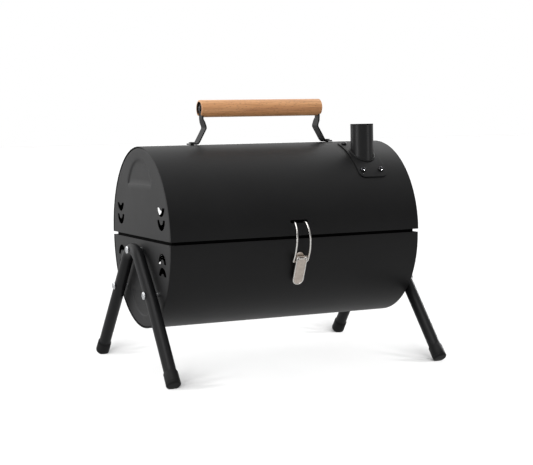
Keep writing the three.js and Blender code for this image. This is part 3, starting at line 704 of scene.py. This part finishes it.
def seam_lip():
    """The hoop inside the tub's rim, with a soft folded top edge, painted near black as shade in the seam.
    """
    def line(inset, z):
        r = LIP["corner"] - inset
        turns = [(1, 1, 0), (-1, 1, 90), (-1, -1, 180), (1, -1, 270)]
        loop = [arc(x * (LIP["x"] - LIP["corner"]), y * (LIP["y"] - LIP["corner"]), r, a, a + 90, 8)
                for x, y, a in turns]
        flat = divided(np.concatenate(loop), 1000)
        return np.column_stack([flat, np.full(len(flat), SEAM_Z + z)])

    low, high = LIP["low"], LIP["high"]
    section = [(SHEET, low), (0, low), (0, high - 0.4), (0.15, high - 0.1), (0.4, high),
               (SHEET - 0.4, high), (SHEET - 0.15, high - 0.1), (SHEET, high - 0.4)]
    loops = [line(inset, z) for inset, z in section]
    # Painted shade: the lip is near black so the seam reads dark.
    piece("seam_lip", "hoop", rings(loops, closed=True), "flat_black", "tub")


def vent(y, z, inner, end):
    """The outline of a half ring, its ends a little rounded."""
    dip, inner_dip = (math.degrees(math.asin((z - end) / r)) for r in (VENT_R, inner))
    limbs = [arc(y, z - RIM, VENT_R, 180 + dip, 360 - dip, 26),
             arc(y, z - RIM, inner, 360 - inner_dip, 180 + inner_dip, 18)]
    rounds = [0.8 if i in (0, 26, 27, 45) else 0 for i in range(46)]
    return filleted(np.concatenate(limbs), rounds, 3, closed=True)


def end_panels():
    face, bend = HALF - PANEL_RECESS, 1.9

    def emboss_depth(y, q):
        """How far the panel is pressed in, by the distance inside the segment's outline."""
        depth = np.minimum(EMBOSS["r"] - np.hypot(y, q + RIM - EMBOSS["r"]), q + RIM - EMBOSS["chord"])
        t = np.clip((depth + 0.6) / 2.2, 0, 1)
        return EMBOSS["depth"] * t * t * (3 - 2 * t)

    creases = []
    for inset in (-0.7, 0.0, 0.7, 1.5):
        r, chord = EMBOSS["r"] - inset, EMBOSS["chord"] + inset
        reach = math.degrees(math.asin((chord - EMBOSS["r"]) / r))
        edge = arc(0, EMBOSS["r"] - RIM, r, reach, 180 - reach, 60)
        flat = np.stack([np.linspace(edge[0, 0], edge[-1, 0], 44)[1:-1], np.full(42, chord - RIM)], 1)
        creases += [edge, flat]
    for sign, up in ((s, u) for s in (-1, 1) for u in (True, False)):
        body, radius = ("lid", LID_R) if up else ("tub", TUB_R)
        radius -= SHEET + FIT
        flat_r = radius - bend
        whole = flat_r + bend * math.pi / 2 + CAP_DEPTH - bend
        centre_z = LID_LOW.z if up else TUB_HIGH.z
        holes = [vent(side * VENT_Y, *sizes) for side in (-1, 1) for sizes in VENTS]
        if not up:
            bolts = [(0, -LEG_APEX), (-LEG_BOLT[0], -LEG_BOLT[1]), (LEG_BOLT[0], -LEG_BOLT[1])]
            holes += [circle(y, z - RIM, 2.8, 16) for y, z in bolts]

        def layer(inward):
            def points(flat):
                rho = np.hypot(flat[:, 0], flat[:, 1])
                unit = flat / np.maximum(rho, 1e-9)[:, None]
                turn = np.clip((rho - flat_r) / bend, 0, math.pi / 2)
                tail = np.maximum(rho - flat_r - bend * math.pi / 2, 0)
                reach = np.minimum(rho, flat_r) + (bend - inward) * np.sin(turn)
                depth = bend - (bend - inward) * np.cos(turn) + tail
                depth = depth + emboss_depth(flat[:, 0], flat[:, 1]) * (rho < flat_r)
                q = unit[:, 1] * reach
                return np.stack([sign * (face - depth), unit[:, 0] * reach, centre_z + (q if up else -q)], 1)
            return points

        outline = arc(0, 0, whole, 0, 180, 110)
        rolls = [arc(0, 0, flat_r + bend * t, 1, 179, 100) for t in (0, 0.35, 0.7, 1.05, 1.4, 1.7)]
        shape = sheet(outline, holes, 4.5, layer(0), layer(PANEL_GAUGE), np.concatenate(creases + rolls))
        name = f"{body}_end_{'left' if sign < 0 else 'right'}"
        piece(name, "pressed", shape, "panel", body, 0.22)


def leg_line():
    """Centre line of one half of a leg from the top down: x outwards from the tube's middle, y, z."""
    bend = arc(0, LEG_APEX - LEG_BEND_R, LEG_BEND_R, 90, LEG_UPPER, 14)
    lower = math.radians(LEG_LOWER)
    end = -SEAM_Z - CAP_FLAT + CAP_R * math.sin(lower) + (CAP_END + FIT) * math.cos(lower)
    drop = LEG_KINK[1] - end
    foot = (drop * math.tan(math.radians(LEG_LEAN)), LEG_KINK[0] + drop * math.tan(lower), end)
    line = [(0, y, z) for y, z in bend] + [(0, *LEG_KINK), foot]
    return np.array(line)


def foot_cap(node, foot, knee):
    """A moulded cup on the tube's end, cut flat on the ground."""
    down = (foot - knee) / np.linalg.norm(foot - knee)
    bore, r, top = LEG_R + CAP_FIT, CAP_R, CAP_LENGTH
    base = [(0, 0), (r - 2.6, 0), (r - 1.1, 0.25), (r - 0.25, 1.1), (r, 2.4)]
    ridge = [(r, 3.4), (r - 0.35, 3.7), (r - 0.35, 4.1), (r - 0.05, 4.4)]
    lip = [(r - 0.2, top - 1.1), (r - 0.75, top - 0.2), (bore + 0.2, top), (bore, top - 0.3),
           (bore, CAP_END), (0, CAP_END)]
    cup = pointing(lathe(base + ridge + lip, 44), -down, foot + down * (CAP_END + FIT))
    cup[0][:, 2] = np.maximum(cup[0][:, 2], 0)
    piece(node, "moulded", cup, "rubber", "tub", sharp=38)


def legs():
    half = leg_line()
    middle = HALF + LEG_GAP + LEG_R
    outside = middle + LEG_R + FIT
    inside_face = HALF - PANEL_RECESS - SHEET - FIT
    bolt = fastener(BOLT_R, BOLT_HEAD, BOLT_SHANK, outside - inside_face + NUT_HEIGHT + 2)
    bolts = ((0, LEG_APEX, "top"), (-LEG_BOLT[0], LEG_BOLT[1], "front"), (LEG_BOLT[0], LEG_BOLT[1], "rear"))
    for sign, name in SIDES:
        place = lambda p: np.array([sign * (middle + p[0]), p[1], SEAM_Z + p[2]])
        mirrored = [place((p[0], -p[1], p[2])) for p in half[:0:-1]]
        path = np.array(mirrored + [place(p) for p in half])
        knees = [26 if i in (1, len(path) - 2) else 0 for i in range(len(path))]
        leg = tube(filleted(path, knees, 3), LEG_R, 36)
        # Painted shade: the leg takes a darker copy of the black coat.
        piece(f"leg_{name}", "tube", leg, "tube", "tub")
        for end, where in ((-1, "front"), (1, "rear")):
            foot, knee = (place((p[0], end * p[1], p[2])) for p in (half[-1], half[-2]))
            foot_cap(f"foot_cap_{where}_{name}", foot, knee)
        for y, z, where in bolts:
            head = pointing(bolt, (sign, 0, 0), (sign * outside, y, SEAM_Z + z))
            piece(f"leg_bolt_{name}_{where}", "panhead", head, "zinc", "tub")
            nut = pointing(hex_nut(), (-sign, 0, 0), (sign * inside_face, y, SEAM_Z + z))
            piece(f"leg_nut_{name}_{where}", "hex", nut, "zinc", "tub", 0.12)


def hex_nut():
    """A hexagon nut whose corners are turned down at both ends."""
    a = np.radians(np.arange(0, 360, 15) + 7.5)
    flat = NUT_R * math.cos(math.pi / 6)
    hexagon = flat / np.cos((a % (math.pi / 3)) - math.pi / 6)
    bore, low, top = BOLT_SHANK + 0.25, np.minimum(hexagon, 1.03 * flat), NUT_HEIGHT
    section = [(bore, 0.4), (bore + 0.4, 0), (low, 0), (hexagon, 0.6),
               (hexagon, top - 0.6), (low, top), (bore + 0.4, top), (bore, top - 0.4)]
    return rings([hoop(a, r, z) for r, z in section], closed=True)


def grip(floor):
    """The dowel, bored at both ends as far as floor, with a groove under each bore for the strap."""
    length, soft_r = GRIP_HIGH.x, 1.3
    soft = [(GRIP_R - soft_r + soft_r * math.sin(t), length - soft_r + soft_r * math.cos(t))
            for t in np.radians(range(0, 91, 15))]
    profile = [(0, -length), *[(r, -z) for r, z in soft], *soft[::-1], (0, length)]
    wood = pointing(lathe(profile, 72), (1, 0, 0), (0, 0, GRIP_Z))
    tools = []
    for sign, _ in SIDES:
        low, high = sorted((sign * floor, sign * (length + 10)))
        half = STRAP_TAB / 2 + FIT
        bore = lathe([(0, 0), (RECESS_R, 0), (RECESS_R, high - low), (0, high - low)], 56)
        tools.append(pointing(bore, (1, 0, 0), (low, 0, GRIP_Z)))
        tools.append(block((low, -half, GRIP_Z - 2 * GRIP_R), (high, half, GRIP_Z)))
    piece("handle_grip", "turned", carved(wood, *tools), "beech", "lid", 0.35, 30)


def strap_outline(whole):
    """The strap laid flat: wide at the foot, narrow and round-ended at the tab."""
    wide, narrow = STRAP_WIDTH / 2, STRAP_TAB / 2
    side = [(whole - 23, wide), (whole - 19.5, narrow), (whole - narrow, narrow)]
    top = arc(whole - narrow, 0, narrow, 90, -90, 18)[1:-1]
    outline = [(0, wide), *side, *top, *[(s, -w) for s, w in side[::-1]], (0, -wide)]
    return filleted(outline, [3, 2, 2, *[0] * (len(outline) - 6), 2, 2, 3], 5, closed=True)


def handle():
    tab_x = STRAP_LINE[3][0]
    grip(tab_x - STRAP_GAUGE / 2 - FIT)
    sole = LID_LOW.z + LID_R + FIT
    middle = sole + STRAP_GAUGE / 2
    bend, low, high = (STRAP_LINE[i][1] for i in (2, 3, 4))
    heights = [middle, middle, SEAM_Z + bend, GRIP_Z + low, GRIP_Z + high]
    for sign, name in SIDES:
        line = filleted([(x, z) for (x, _), z in zip(STRAP_LINE, heights)], 3.2, 7)
        front, back, whole = bent(line, STRAP_GAUGE, lambda a, b, w: np.stack([sign * a, w, b], 1))
        holes = [circle(whole - 6, 0, 2.2, 20), circle(STRAP_LINE[0][0] - STRAP_SCREW_X, 0, 2.3, 20)]
        strip = sheet(strap_outline(whole), holes, (1.4, 2.6), front, back)
        piece(f"handle_strap_{name}", "bent", strip, "shell", "lid", 0.3)
        toe = (sign * STRAP_SCREW_X, 0, sole + STRAP_GAUGE + FIT)
        screw = pointing(fastener(4.2, 1.3, 2, STRAP_GAUGE + SHEET + 6), (0, 0, 1), toe)
        piece(f"handle_foot_screw_{name}", "head", screw, "flat_black", "lid")
        tab = (sign * (tab_x + STRAP_GAUGE / 2 + FIT), 0, GRIP_Z)
        screw = pointing(fastener(3.4, 1.5, 1.9, 15), (sign, 0, 0), tab)
        piece(f"handle_end_screw_{name}", "head", screw, "dark", "lid")


def saddle_screws():
    """x and angle round the barrel of each chimney screw, in the CAD nodes' order."""
    spread = math.degrees(SADDLE_SCREWS[1] / (LID_R + FIT + SHEET))
    return [(PIPE_X + across * SADDLE_SCREWS[0], SADDLE_ANGLE + along * spread)
            for across in (-1, 1) for along in (-1, 1)]


def chimney_saddle(r):
    """The saddle plate on the lid, with the weld round the pipe's foot."""
    half = r * math.asin(SADDLE_HALF_LENGTH / r)
    middle = r * math.radians(SADDLE_ANGLE)
    outline = rounded_box(middle, PIPE_X, half, SADDLE_HALF_WIDTH, SADDLE_CORNER)
    flue = circle(PIPE_X, PIPE_Y, PIPE_R + FIT, 48)
    holes = [np.stack([r * np.arccos(flue[:, 1] / r), flue[:, 0]], 1)]
    holes += [circle(r * math.radians(angle), x, SCREW_HOLE, 20) for x, angle in saddle_screws()]
    plate = sheet(outline, holes, (3, 3.5), *rolled(r, LID_LOW.z, 0, SHEET))
    x, y = circle(PIPE_X, PIPE_Y, PIPE_R + 0.5, 72).T
    seam = np.stack([x, y, LID_LOW.z + np.sqrt((r + 0.35) ** 2 - y ** 2)], 1)
    weld = tube(seam, 1.15, 12, closed=True)
    piece("chimney_saddle", "plate", together(plate, weld), "shell", "lid", 0.3)


def chimney_pipe():
    """The pipe, its foot cut to the lid's curve, and its rim as a piece of its own. The pipe wears a lighter
    copy of the black coat, painted light, and the rim is painted near black as shade in the pipe's mouth.
    """
    bore, top, seat, gap = PIPE_R - PIPE_WALL, PIPE_HIGH.z, PIPE_HIGH.z - PIPE_RIM, 0.02
    x, y = circle(0, 0, 1, 64).T
    foot = LID_LOW.z + np.sqrt((LID_R + FIT) ** 2 - (PIPE_Y + PIPE_R * y) ** 2)

    def skin(*section):
        loops = [np.stack([PIPE_X + r * x, PIPE_Y + r * y, np.broadcast_to(z, 64)], 1) for r, z in section]
        return rings(loops, closed=True)

    wall = [(PIPE_R, foot + (seat - foot) * t) for t in (0.1, 0.5, 1)]
    pipe = skin((bore, foot), (PIPE_R, foot), *wall, (bore, seat))
    piece("chimney_pipe", "tube", pipe, "pipe", "lid")
    rim = skin((bore, seat + gap), (PIPE_R - gap, seat + gap), (PIPE_R - gap, top - 0.5),
               (PIPE_R - 0.15, top - 0.12), (PIPE_R - 0.5, top), (bore + 0.15, top - 0.12),
               (bore, top - 0.5))
    # Painted shade: the rim is near black.
    piece("chimney_pipe", "rim", rim, "flat_black", "lid")


def chimney():
    r = LID_R + FIT + SHEET
    chimney_saddle(r)
    chimney_pipe()
    for i, (x, angle) in enumerate(saddle_screws()):
        out = outward(angle)
        at = np.array([x, 0, LID_LOW.z]) + out * (r + FIT)
        screw = pointing(fastener(3.6, 2.2, 1.8, 2 * SHEET + 6), out, at)
        piece(f"chimney_screw_{i + 1}", "head", screw, "dark", "lid")


def hinges():
    reach = HINGE_MIDDLE + FIT
    for sign, name in SIDES:
        centre = sign * HINGE_X
        for part, up in (("tub", -1), ("lid", 1)):
            r = (TUB_R, 0, LID_R)[up + 1] + FIT + SHEET / 2
            shell = arc(0, up * RIM, r, up * HINGE_DEGREES, up * 4.0, 8)
            corner = (r + 0.15, up * HINGE_ROLL)
            curl = arc(HINGE_Y, 0, HINGE_ROLL, up * 90, up * -185, 22)
            line = np.concatenate([shell, filleted([shell[-1], corner, curl[0]], 1.4, 5)[1:-1], curl])
            line[:, 1] += SEAM_Z
            place = lambda a, b, w: np.stack([centre + up * w, a, b], 1)
            front, back, whole = bent(line, SHEET - 0.05, place)
            turn = whole - 2 * math.pi * HINGE_ROLL * 275 / 360 - 3.4
            edge, middle = HINGE_HALF, HINGE_MIDDLE
            if up > 0:
                side = [(0, edge), (whole, edge), (whole, reach), (turn, reach)]
                rounds = [3, 0, 0, 0.8]
            else:
                side = [(0, edge), (turn, edge), (turn, middle), (whole, middle)]
                rounds = [3, 1, 0.6, 0]
            outline = [(s, -w) for s, w in side] + side[::-1]
            outline = filleted(outline, rounds + rounds[::-1], 4, closed=True)
            leaf = sheet(outline, [], (0.9, 3), front, back)
            heads = []
            for x in (-11, 11):
                out = outward(up * 10)
                at = np.array([centre + x, 0, SEAM_Z + up * RIM]) + out * (r + SHEET / 2 - 0.1)
                heads.append(pointing(dome(2.3, 1.1, 1.4, 2 * SHEET), out, at))
            piece(f"hinge_{part}_leaf_{name}", "rolled", together(leaf, *heads), "shell", part, 0.15)
        end = HINGE_HALF + 1.2
        pin = rod((centre - end, HINGE_Y, SEAM_Z), (centre + end, HINGE_Y, SEAM_Z), HINGE_PIN_R, 24)
        piece(f"hinge_pin_{name}", "rod", pin, "zinc", "tub")


LATCH_TURN = Matrix.Rotation(math.pi / 2 + math.radians(LATCH_DEGREES), 3, "X")
LATCH_AT = np.array([LATCH_X, -TUB_R * math.cos(math.radians(LATCH_DEGREES)),
                     TUB_HIGH.z - TUB_R * math.sin(math.radians(LATCH_DEGREES))])


def on_latch(shape):
    """A shape drawn with x across the latch, y up the tub's skin and z straight out of it."""
    return np.asarray(shape[0]) @ np.array(LATCH_TURN).T + LATCH_AT, shape[1]


def latch_plates():
    place = lambda u, v, height: np.stack([u, v, height], 1)
    outline = np.concatenate([arc(0, -8, 5, 180, 360, 20), arc(0, 10.8, 5, 0, 180, 20)])
    plate = sheet(outline, [circle(0, up, 1.9, 20) for up in RIVETS], 1.6, *level(place, SHEET, BASE_OUT))
    ears = []
    ear = np.concatenate([[(3.5, BASE_OUT + 0.4), (12.5, BASE_OUT + 0.4)], arc(*LEVER_PIN, 2, 0, 180, 16)])
    for side in (-1, 1):
        upright = lambda u, v, height: np.stack([side * height, u, v], 1)
        ears.append(sheet(ear, [circle(*LEVER_PIN, 1.5, 20)], 1.2, *level(upright, SHEET, 3.8)))
    # Painted light: the base plate takes a lighter copy of the latch steel.
    piece("latch_base", "plate", on_latch(together(plate, *ears)), "base", "tub", 0.2)
    for i, up in enumerate(RIVETS):
        top = BASE_OUT + SHEET
        rivet = pointing(dome(2.6, 1.3, 1.5, top + 4), (0, 0, 1), (0, up, top + FIT))
        piece(f"latch_rivet_{i + 1}", "dome", on_latch(rivet), "zinc", "tub")
    ends = [(-7.9, 7.9, 1.2, 0.2), (-8, -7.55, 1.6, 0.1), (7.55, 8, 1.6, 0.1)]
    pin = [rod((x0, *LEVER_PIN), (x1, *LEVER_PIN), r, 20, chamfer) for x0, x1, r, chamfer in ends]
    piece("latch_pin", "rod", on_latch(together(*pin)), "latch", "tub")


def latch_lever():
    half = LEVER_WIDTH / 2
    tilt = math.radians(LEVER_TILT)
    lobe, lobe_up = 2.3, -0.6
    outline = np.concatenate([arc(0, half - LEVER_TAIL, half, 180, 360, 28),
                              arc(half - lobe, lobe_up, lobe, 0, 160, 12),
                              arc(lobe - half, lobe_up, lobe, 20, 180, 12)])

    def laid(u, v, height):
        y = v * math.cos(tilt) - height * math.sin(tilt) + LEVER_PIN[0]
        z = v * math.sin(tilt) + height * math.cos(tilt) + LEVER_PIN[1] + 2.4
        return np.stack([u, y, z], 1)

    def front(flat):
        """The panel is slightly hollow inside its rolled rim."""
        hollow = np.clip((clearance(flat, outline) - 1.8) / 2.5, 0, 1) * 0.25
        return laid(flat[:, 0], flat[:, 1], SHEET - hollow)

    back = lambda flat: laid(flat[:, 0], flat[:, 1], np.zeros(len(flat)))
    holes = [circle(side * (half - lobe), lobe_up, 1.4, 18) for side in (-1, 1)]
    plate = sheet(outline, holes, 0.75, front, back)
    rim_r = 0.72
    edge = divided(outline, 0.7)
    ahead = np.roll(edge, -1, 0) - np.roll(edge, 1, 0)
    inward = np.stack([-ahead[:, 1], ahead[:, 0]], 1) / np.linalg.norm(ahead, axis=1)[:, None]
    edge = edge + inward * rim_r
    rim = tube(laid(edge[:, 0], edge[:, 1], np.full(len(edge), SHEET + 0.1)), rim_r, 12, closed=True)
    eyes = [laid(*circle(side * (half - lobe), lobe_up, 1.6, 20).T, np.full(20, SHEET)) for side in (-1, 1)]
    eyes = [tube(eye, 0.5, 10, closed=True) for eye in eyes]
    # Painted highlight: the rolled rim takes the wire's lighter tone.
    piece("latch_lever", "rim", on_latch(together(rim, *eyes)), "rim_highlight", "lever")
    bail_up, bail_out = BAIL_PIN
    pin_up, pin_out = LEVER_PIN
    cheek = np.concatenate([[(bail_up - 3, bail_out + 2.3)], arc(bail_up, bail_out, 2.1, 180, 270, 8),
                            arc(pin_up, pin_out, 2.1, 270, 360, 8), [(pin_up + 1.4, pin_out + 3)],
                            [(bail_up - 3, bail_out + 2.4)]])
    cheeks = []
    for side in (-1, 1):
        upright = lambda u, v, height: np.stack([side * height, u, v], 1)
        bores = [circle(*BAIL_PIN, 1.45, 20), circle(*LEVER_PIN, 1.45, 20)]
        cheeks.append(sheet(cheek, bores, 1.2, *level(upright, SHEET, half - SHEET)))
    piece("latch_lever", "pressed", on_latch(together(plate, *cheeks)), "latch", "lever", 0.18, 40)


def latch_bail():
    up, out = BAIL_PIN
    rise = [(9.5, up, out), (9.5, 8, 6.3), (9.4, 14, 8), (9.3, 21, 8.9), (9, 29, 8.7), (8.7, 36.5, 7.2),
            (8.2, 43, 4.2), (7.7, 47.6, -0.4), (7.2, 50.8, -5.8), (6.8, 50.6, -9.6)]
    half = [(5.9, up, out), (8.4, up, out), *rise, (5.6, 50.4, -13.2)]
    path = np.array([(-x, y, z) for x, y, z in half] + half[::-1], float)
    elbows = [0.9 if i in (2, len(path) - 3) else 0 for i in range(len(path))]
    wire = tube(flowing(filleted(path, elbows, 4), 4), WIRE_R, 18, round_ends=True)
    piece("latch_bail", "wire", on_latch(wire), "wire", "bail")


def grates():
    for node, size, look in (("cooking_grate", COOKING, "chrome"), ("charcoal_grate", CHARCOAL, "iron")):
        r = size["bar"] / 2
        z = SEAM_Z + size["z"]
        end, wide = GRATE_HALF - r, size["half"] - r
        frame_line = rounded_box(0, 0, end, wide, 6, 8)
        rods = [tube(np.column_stack([frame_line, np.full(len(frame_line), z)]), r, 14, closed=True)]
        for x in np.linspace(-end, end, size["bars"])[1:-1]:
            rods.append(tube([(x, -wide, z), (x, 0, z), (x, wide, z)], 0.92 * r, 14))
        piece(node, "wire", together(*rods), look, node)


def ledges():
    for node, size, half, gap in (("cooking_ledge", COOKING, 50, FIT),
                                  ("charcoal_ledge", CHARCOAL, 40, FIT + 1)):
        top = SEAM_Z + size["z"] - size["bar"] / 2 - FIT - SHEET / 2
        wall = HALF - PANEL_RECESS - SHEET - gap - SHEET / 2
        for sign, name in SIDES:
            line = filleted([(wall - LEDGE_REACH + SHEET / 2, top), (wall, top),
                             (wall, top - LEDGE_DROP + SHEET / 2)], 1.6, 6)
            front, back, whole = bent(line, SHEET, lambda a, b, w: np.stack([sign * a, w, b], 1))
            outline = [(0, -half), (whole, -half), (whole, half), (0, half)]
            strip = sheet(filleted(outline, [3, 2, 2, 3], 4, closed=True), [], (1.2, 5), front, back)
            spots = [(sign * (wall - SHEET / 2), y, top - 7) for y in (0.3 - half * 0.7, 0.0, half * 0.7)]
            welds = [pointing(dome(2.6, 0.5, 2, 0.5), (-sign, 0, 0), spot) for spot in spots]
            piece(f"{node}_{name}", "angle", together(strip, *welds), "shell", "tub", 0.2)


shells()
seam_lip()
end_panels()
legs()
handle()
chimney()
hinges()
latch_plates()
latch_lever()
latch_bail()
grates()
ledges()

# ---- Studio: pale floor, white surround, soft lights ----
# The room's light along each axis: from and to on the axis, then from and to in strength.
ROOM = [("Y", -0.35, 0.7, 0.3, 0.95), ("Z", 0.15, 0.95, 0.0, 0.55), ("X", -1.0, 0.2, 0.12, 0.0)]
# Each shade runs (inwards, back) from a foot, for a cap CAP_SHADE high, turned about the vertical.
FLOOR_LIGHT, FLOOR_LIGHT_SPREAD = 9.4, 12
FLOOR_REACH, FLOOR_STEPS = 30.0, 30
CAP_SHADE = 20
SHADES = [(50, 12), (55, 60), (42, 110), (20, 125), (4, 125)]
SHADE_TURN = math.radians(23.8)
TURN, RISE, ROLL = (math.radians(v) for v in (-23.847, 4.491, -1.222))
DISTANCE, LENS, SENSOR = 1.5551, 87.0, 36
TARGET = Vector((-0.0379, -0.0972, SEAM_Z * MM + 0.0065))


def floor(sign, name):
    """Half of the floor, so that each side's low light falls on its own side alone."""
    mesh = bpy.data.meshes.new(f"floor_{name}")
    bm = bmesh.new()
    bmesh.ops.create_grid(bm, x_segments=FLOOR_STEPS, y_segments=FLOOR_STEPS, size=FLOOR_REACH)
    for vert in bm.verts:
        vert.co.x += sign * FLOOR_REACH
    bm.to_mesh(mesh)
    bm.free()
    made = linked(f"floor_{name}", mesh)
    made.location.z = -0.0001
    mesh.materials.append(pale_floor())
    return made


def pale_floor():
    if "pale_floor" in bpy.data.materials:
        return bpy.data.materials["pale_floor"]
    f = Finish("pale_floor")
    seen = f.ramp(f.noise(6, 2), (0.3, (0.29, 0.29, 0.29)), (0.7, (0.3, 0.3, 0.3)))
    rays = f.add("ShaderNodeLightPath")
    f.colour(f.mixed(rays.outputs["Is Camera Ray"], (0.18, 0.18, 0.18, 1), seen))
    f.roughness(f.remapped(f.noise(30, 2), 0.3, 0.7, 0.9, 0.97))
    f.shader.inputs["Specular IOR Level"].default_value = 0.0
    return f.material


def floor_lights(sign, name):
    """A fan of low light on half of the floor; a cap shades the floor inwards and behind itself."""
    lit = group(f"{name}_floor_only", [floor(sign, name)])
    caps = [bpy.data.objects[f"foot_cap_{where}_{name}_moulded"] for where in ("front", "rear")]
    shading = group(f"{name}_caps", caps)
    for i, (inward, back) in enumerate(SHADES):
        share = FLOOR_LIGHT * math.hypot(inward, back, CAP_SHADE) / CAP_SHADE / len(SHADES)
        x = -sign * inward * math.cos(SHADE_TURN) + back * math.sin(SHADE_TURN)
        y = sign * inward * math.sin(SHADE_TURN) + back * math.cos(SHADE_TURN)
        light = sun(f"floor_{name}_{i}", (x, y, -CAP_SHADE), share, FLOOR_LIGHT_SPREAD)
        light.light_linking.receiver_collection = lit
        light.light_linking.blocker_collection = shading


def surround():
    """Plain white to the camera, and a soft graded room to the object: brighter behind and above."""
    world = bpy.data.worlds.new("studio")
    bpy.context.scene.world = world
    world.use_nodes = True
    tree = Tree(world.node_tree)
    tree.nodes.clear()
    out, mix = tree.add("ShaderNodeOutputWorld"), tree.add("ShaderNodeMixShader")
    plain, room = tree.add("ShaderNodeBackground"), tree.add("ShaderNodeBackground")
    plain.inputs["Color"].default_value = (1, 1, 1, 1)
    plain.inputs["Strength"].default_value = 1.0
    rays = tree.add("ShaderNodeLightPath")
    parts = tree.axes(tree.add("ShaderNodeTexCoord").outputs["Generated"])
    total, *others = (tree.remapped(parts[axis], *limits, interpolation_type="SMOOTHSTEP")
                      for axis, *limits in ROOM)
    for other in others:
        both = tree.add("ShaderNodeMath")
        tree.links.new(total, both.inputs[0])
        tree.links.new(other, both.inputs[1])
        total = both.outputs[0]
    tree.links.new(total, room.inputs["Strength"])
    tree.links.new(rays.outputs["Is Camera Ray"], mix.inputs[0])
    tree.links.new(room.outputs[0], mix.inputs[1])
    tree.links.new(plain.outputs[0], mix.inputs[2])
    tree.links.new(mix.outputs[0], out.inputs[0])


def soft_light(name, at, aim, size, power, receivers=None):
    data = bpy.data.lights.new(name, "AREA")
    data.shape = "RECTANGLE"
    data.size, data.size_y = size
    data.energy = power
    made = linked(name, data)
    made.location = at
    made.rotation_euler = (Vector(aim) - Vector(at)).to_track_quat("-Z", "Y").to_euler()
    made.light_linking.receiver_collection = group(name, receivers) if receivers else grill_only()


def group(name, things):
    made = bpy.data.collections.new(name)
    for thing in things:
        made.objects.link(thing)
    return made


def grill_only():
    """The lamps for the object leave the floor out, so that its white stays even."""
    lit = [o for o in bpy.data.objects if o.type == "MESH" and not o.name.startswith("floor_")]
    return bpy.data.collections.get("grill_only") or group("grill_only", lit)


def sun(name, toward, strength, spread):
    data = bpy.data.lights.new(name, "SUN")
    data.energy = strength
    data.angle = math.radians(spread)
    made = linked(name, data)
    made.rotation_euler = Vector(toward).to_track_quat("-Z", "Y").to_euler()
    return made


def camera():
    flat = math.cos(RISE)
    back = Vector((math.sin(TURN) * flat, -math.cos(TURN) * flat, math.sin(RISE)))
    right = Vector((0, 0, 1)).cross(back).normalized()
    up = back.cross(right)
    across = right * math.cos(ROLL) + up * math.sin(ROLL)
    upright = up * math.cos(ROLL) - right * math.sin(ROLL)
    data = bpy.data.cameras.new("camera")
    data.lens = LENS
    data.sensor_width = SENSOR
    data.clip_start, data.clip_end = 0.1, 200
    made = linked("camera", data)
    made.matrix_world = Matrix((across, upright, back)).transposed().to_4x4()
    made.location = TARGET + back * DISTANCE
    bpy.context.scene.camera = made


def lamps():
    aim = (0, 0, 0.17)
    things = bpy.data.objects
    pipe = [things["chimney_pipe_tube"], things["chimney_pipe_rim"]]
    others = [o for o in grill_only().objects if o not in pipe]
    held = [o for o in things if o.name.startswith(("handle_grip_", "latch_lever_", "latch_base_"))]
    screws = [o for o in things if "screw" in o.name and o.name.endswith("_head")]
    for name, at, size, power, receivers in (
            ("left_box", (-1.2, 1.5, 0.9), (0.8, 1.2), 5, None),
            ("right_box", (1.7, 0.9, 1.2), (1.0, 1.4), 9.5, others),
            ("right_strip", (1.5, 0.75, 0.35), (0.2, 1.1), 10, others),
            ("pipe_right", (1.0, -1.2, 0.4), (0.15, 1.0), 2.5, pipe),
            ("pipe_left", (-1.3, -0.5, 0.4), (0.15, 1.0), 2.5, pipe),
            ("left_strip", (-1.6, -0.2, 0.5), (0.2, 1.2), 4, None),
            ("held_fill", (-0.9, -2.2, 0.7), (1.5, 1.0), 9, held),
            ("screw_glint", (1.0, -1.2, 1.3), (0.35, 0.35), 300, screws)):
        soft_light(name, at, aim, size, power, receivers)
    overhead = sun("overhead", (0.35, 0.25, -1), 0.9, 40)
    overhead.light_linking.receiver_collection = grill_only()
    for sign, name in SIDES:
        floor_lights(sign, name)


surround()
lamps()
camera()
bpy.context.scene.view_settings.view_transform = "Standard"
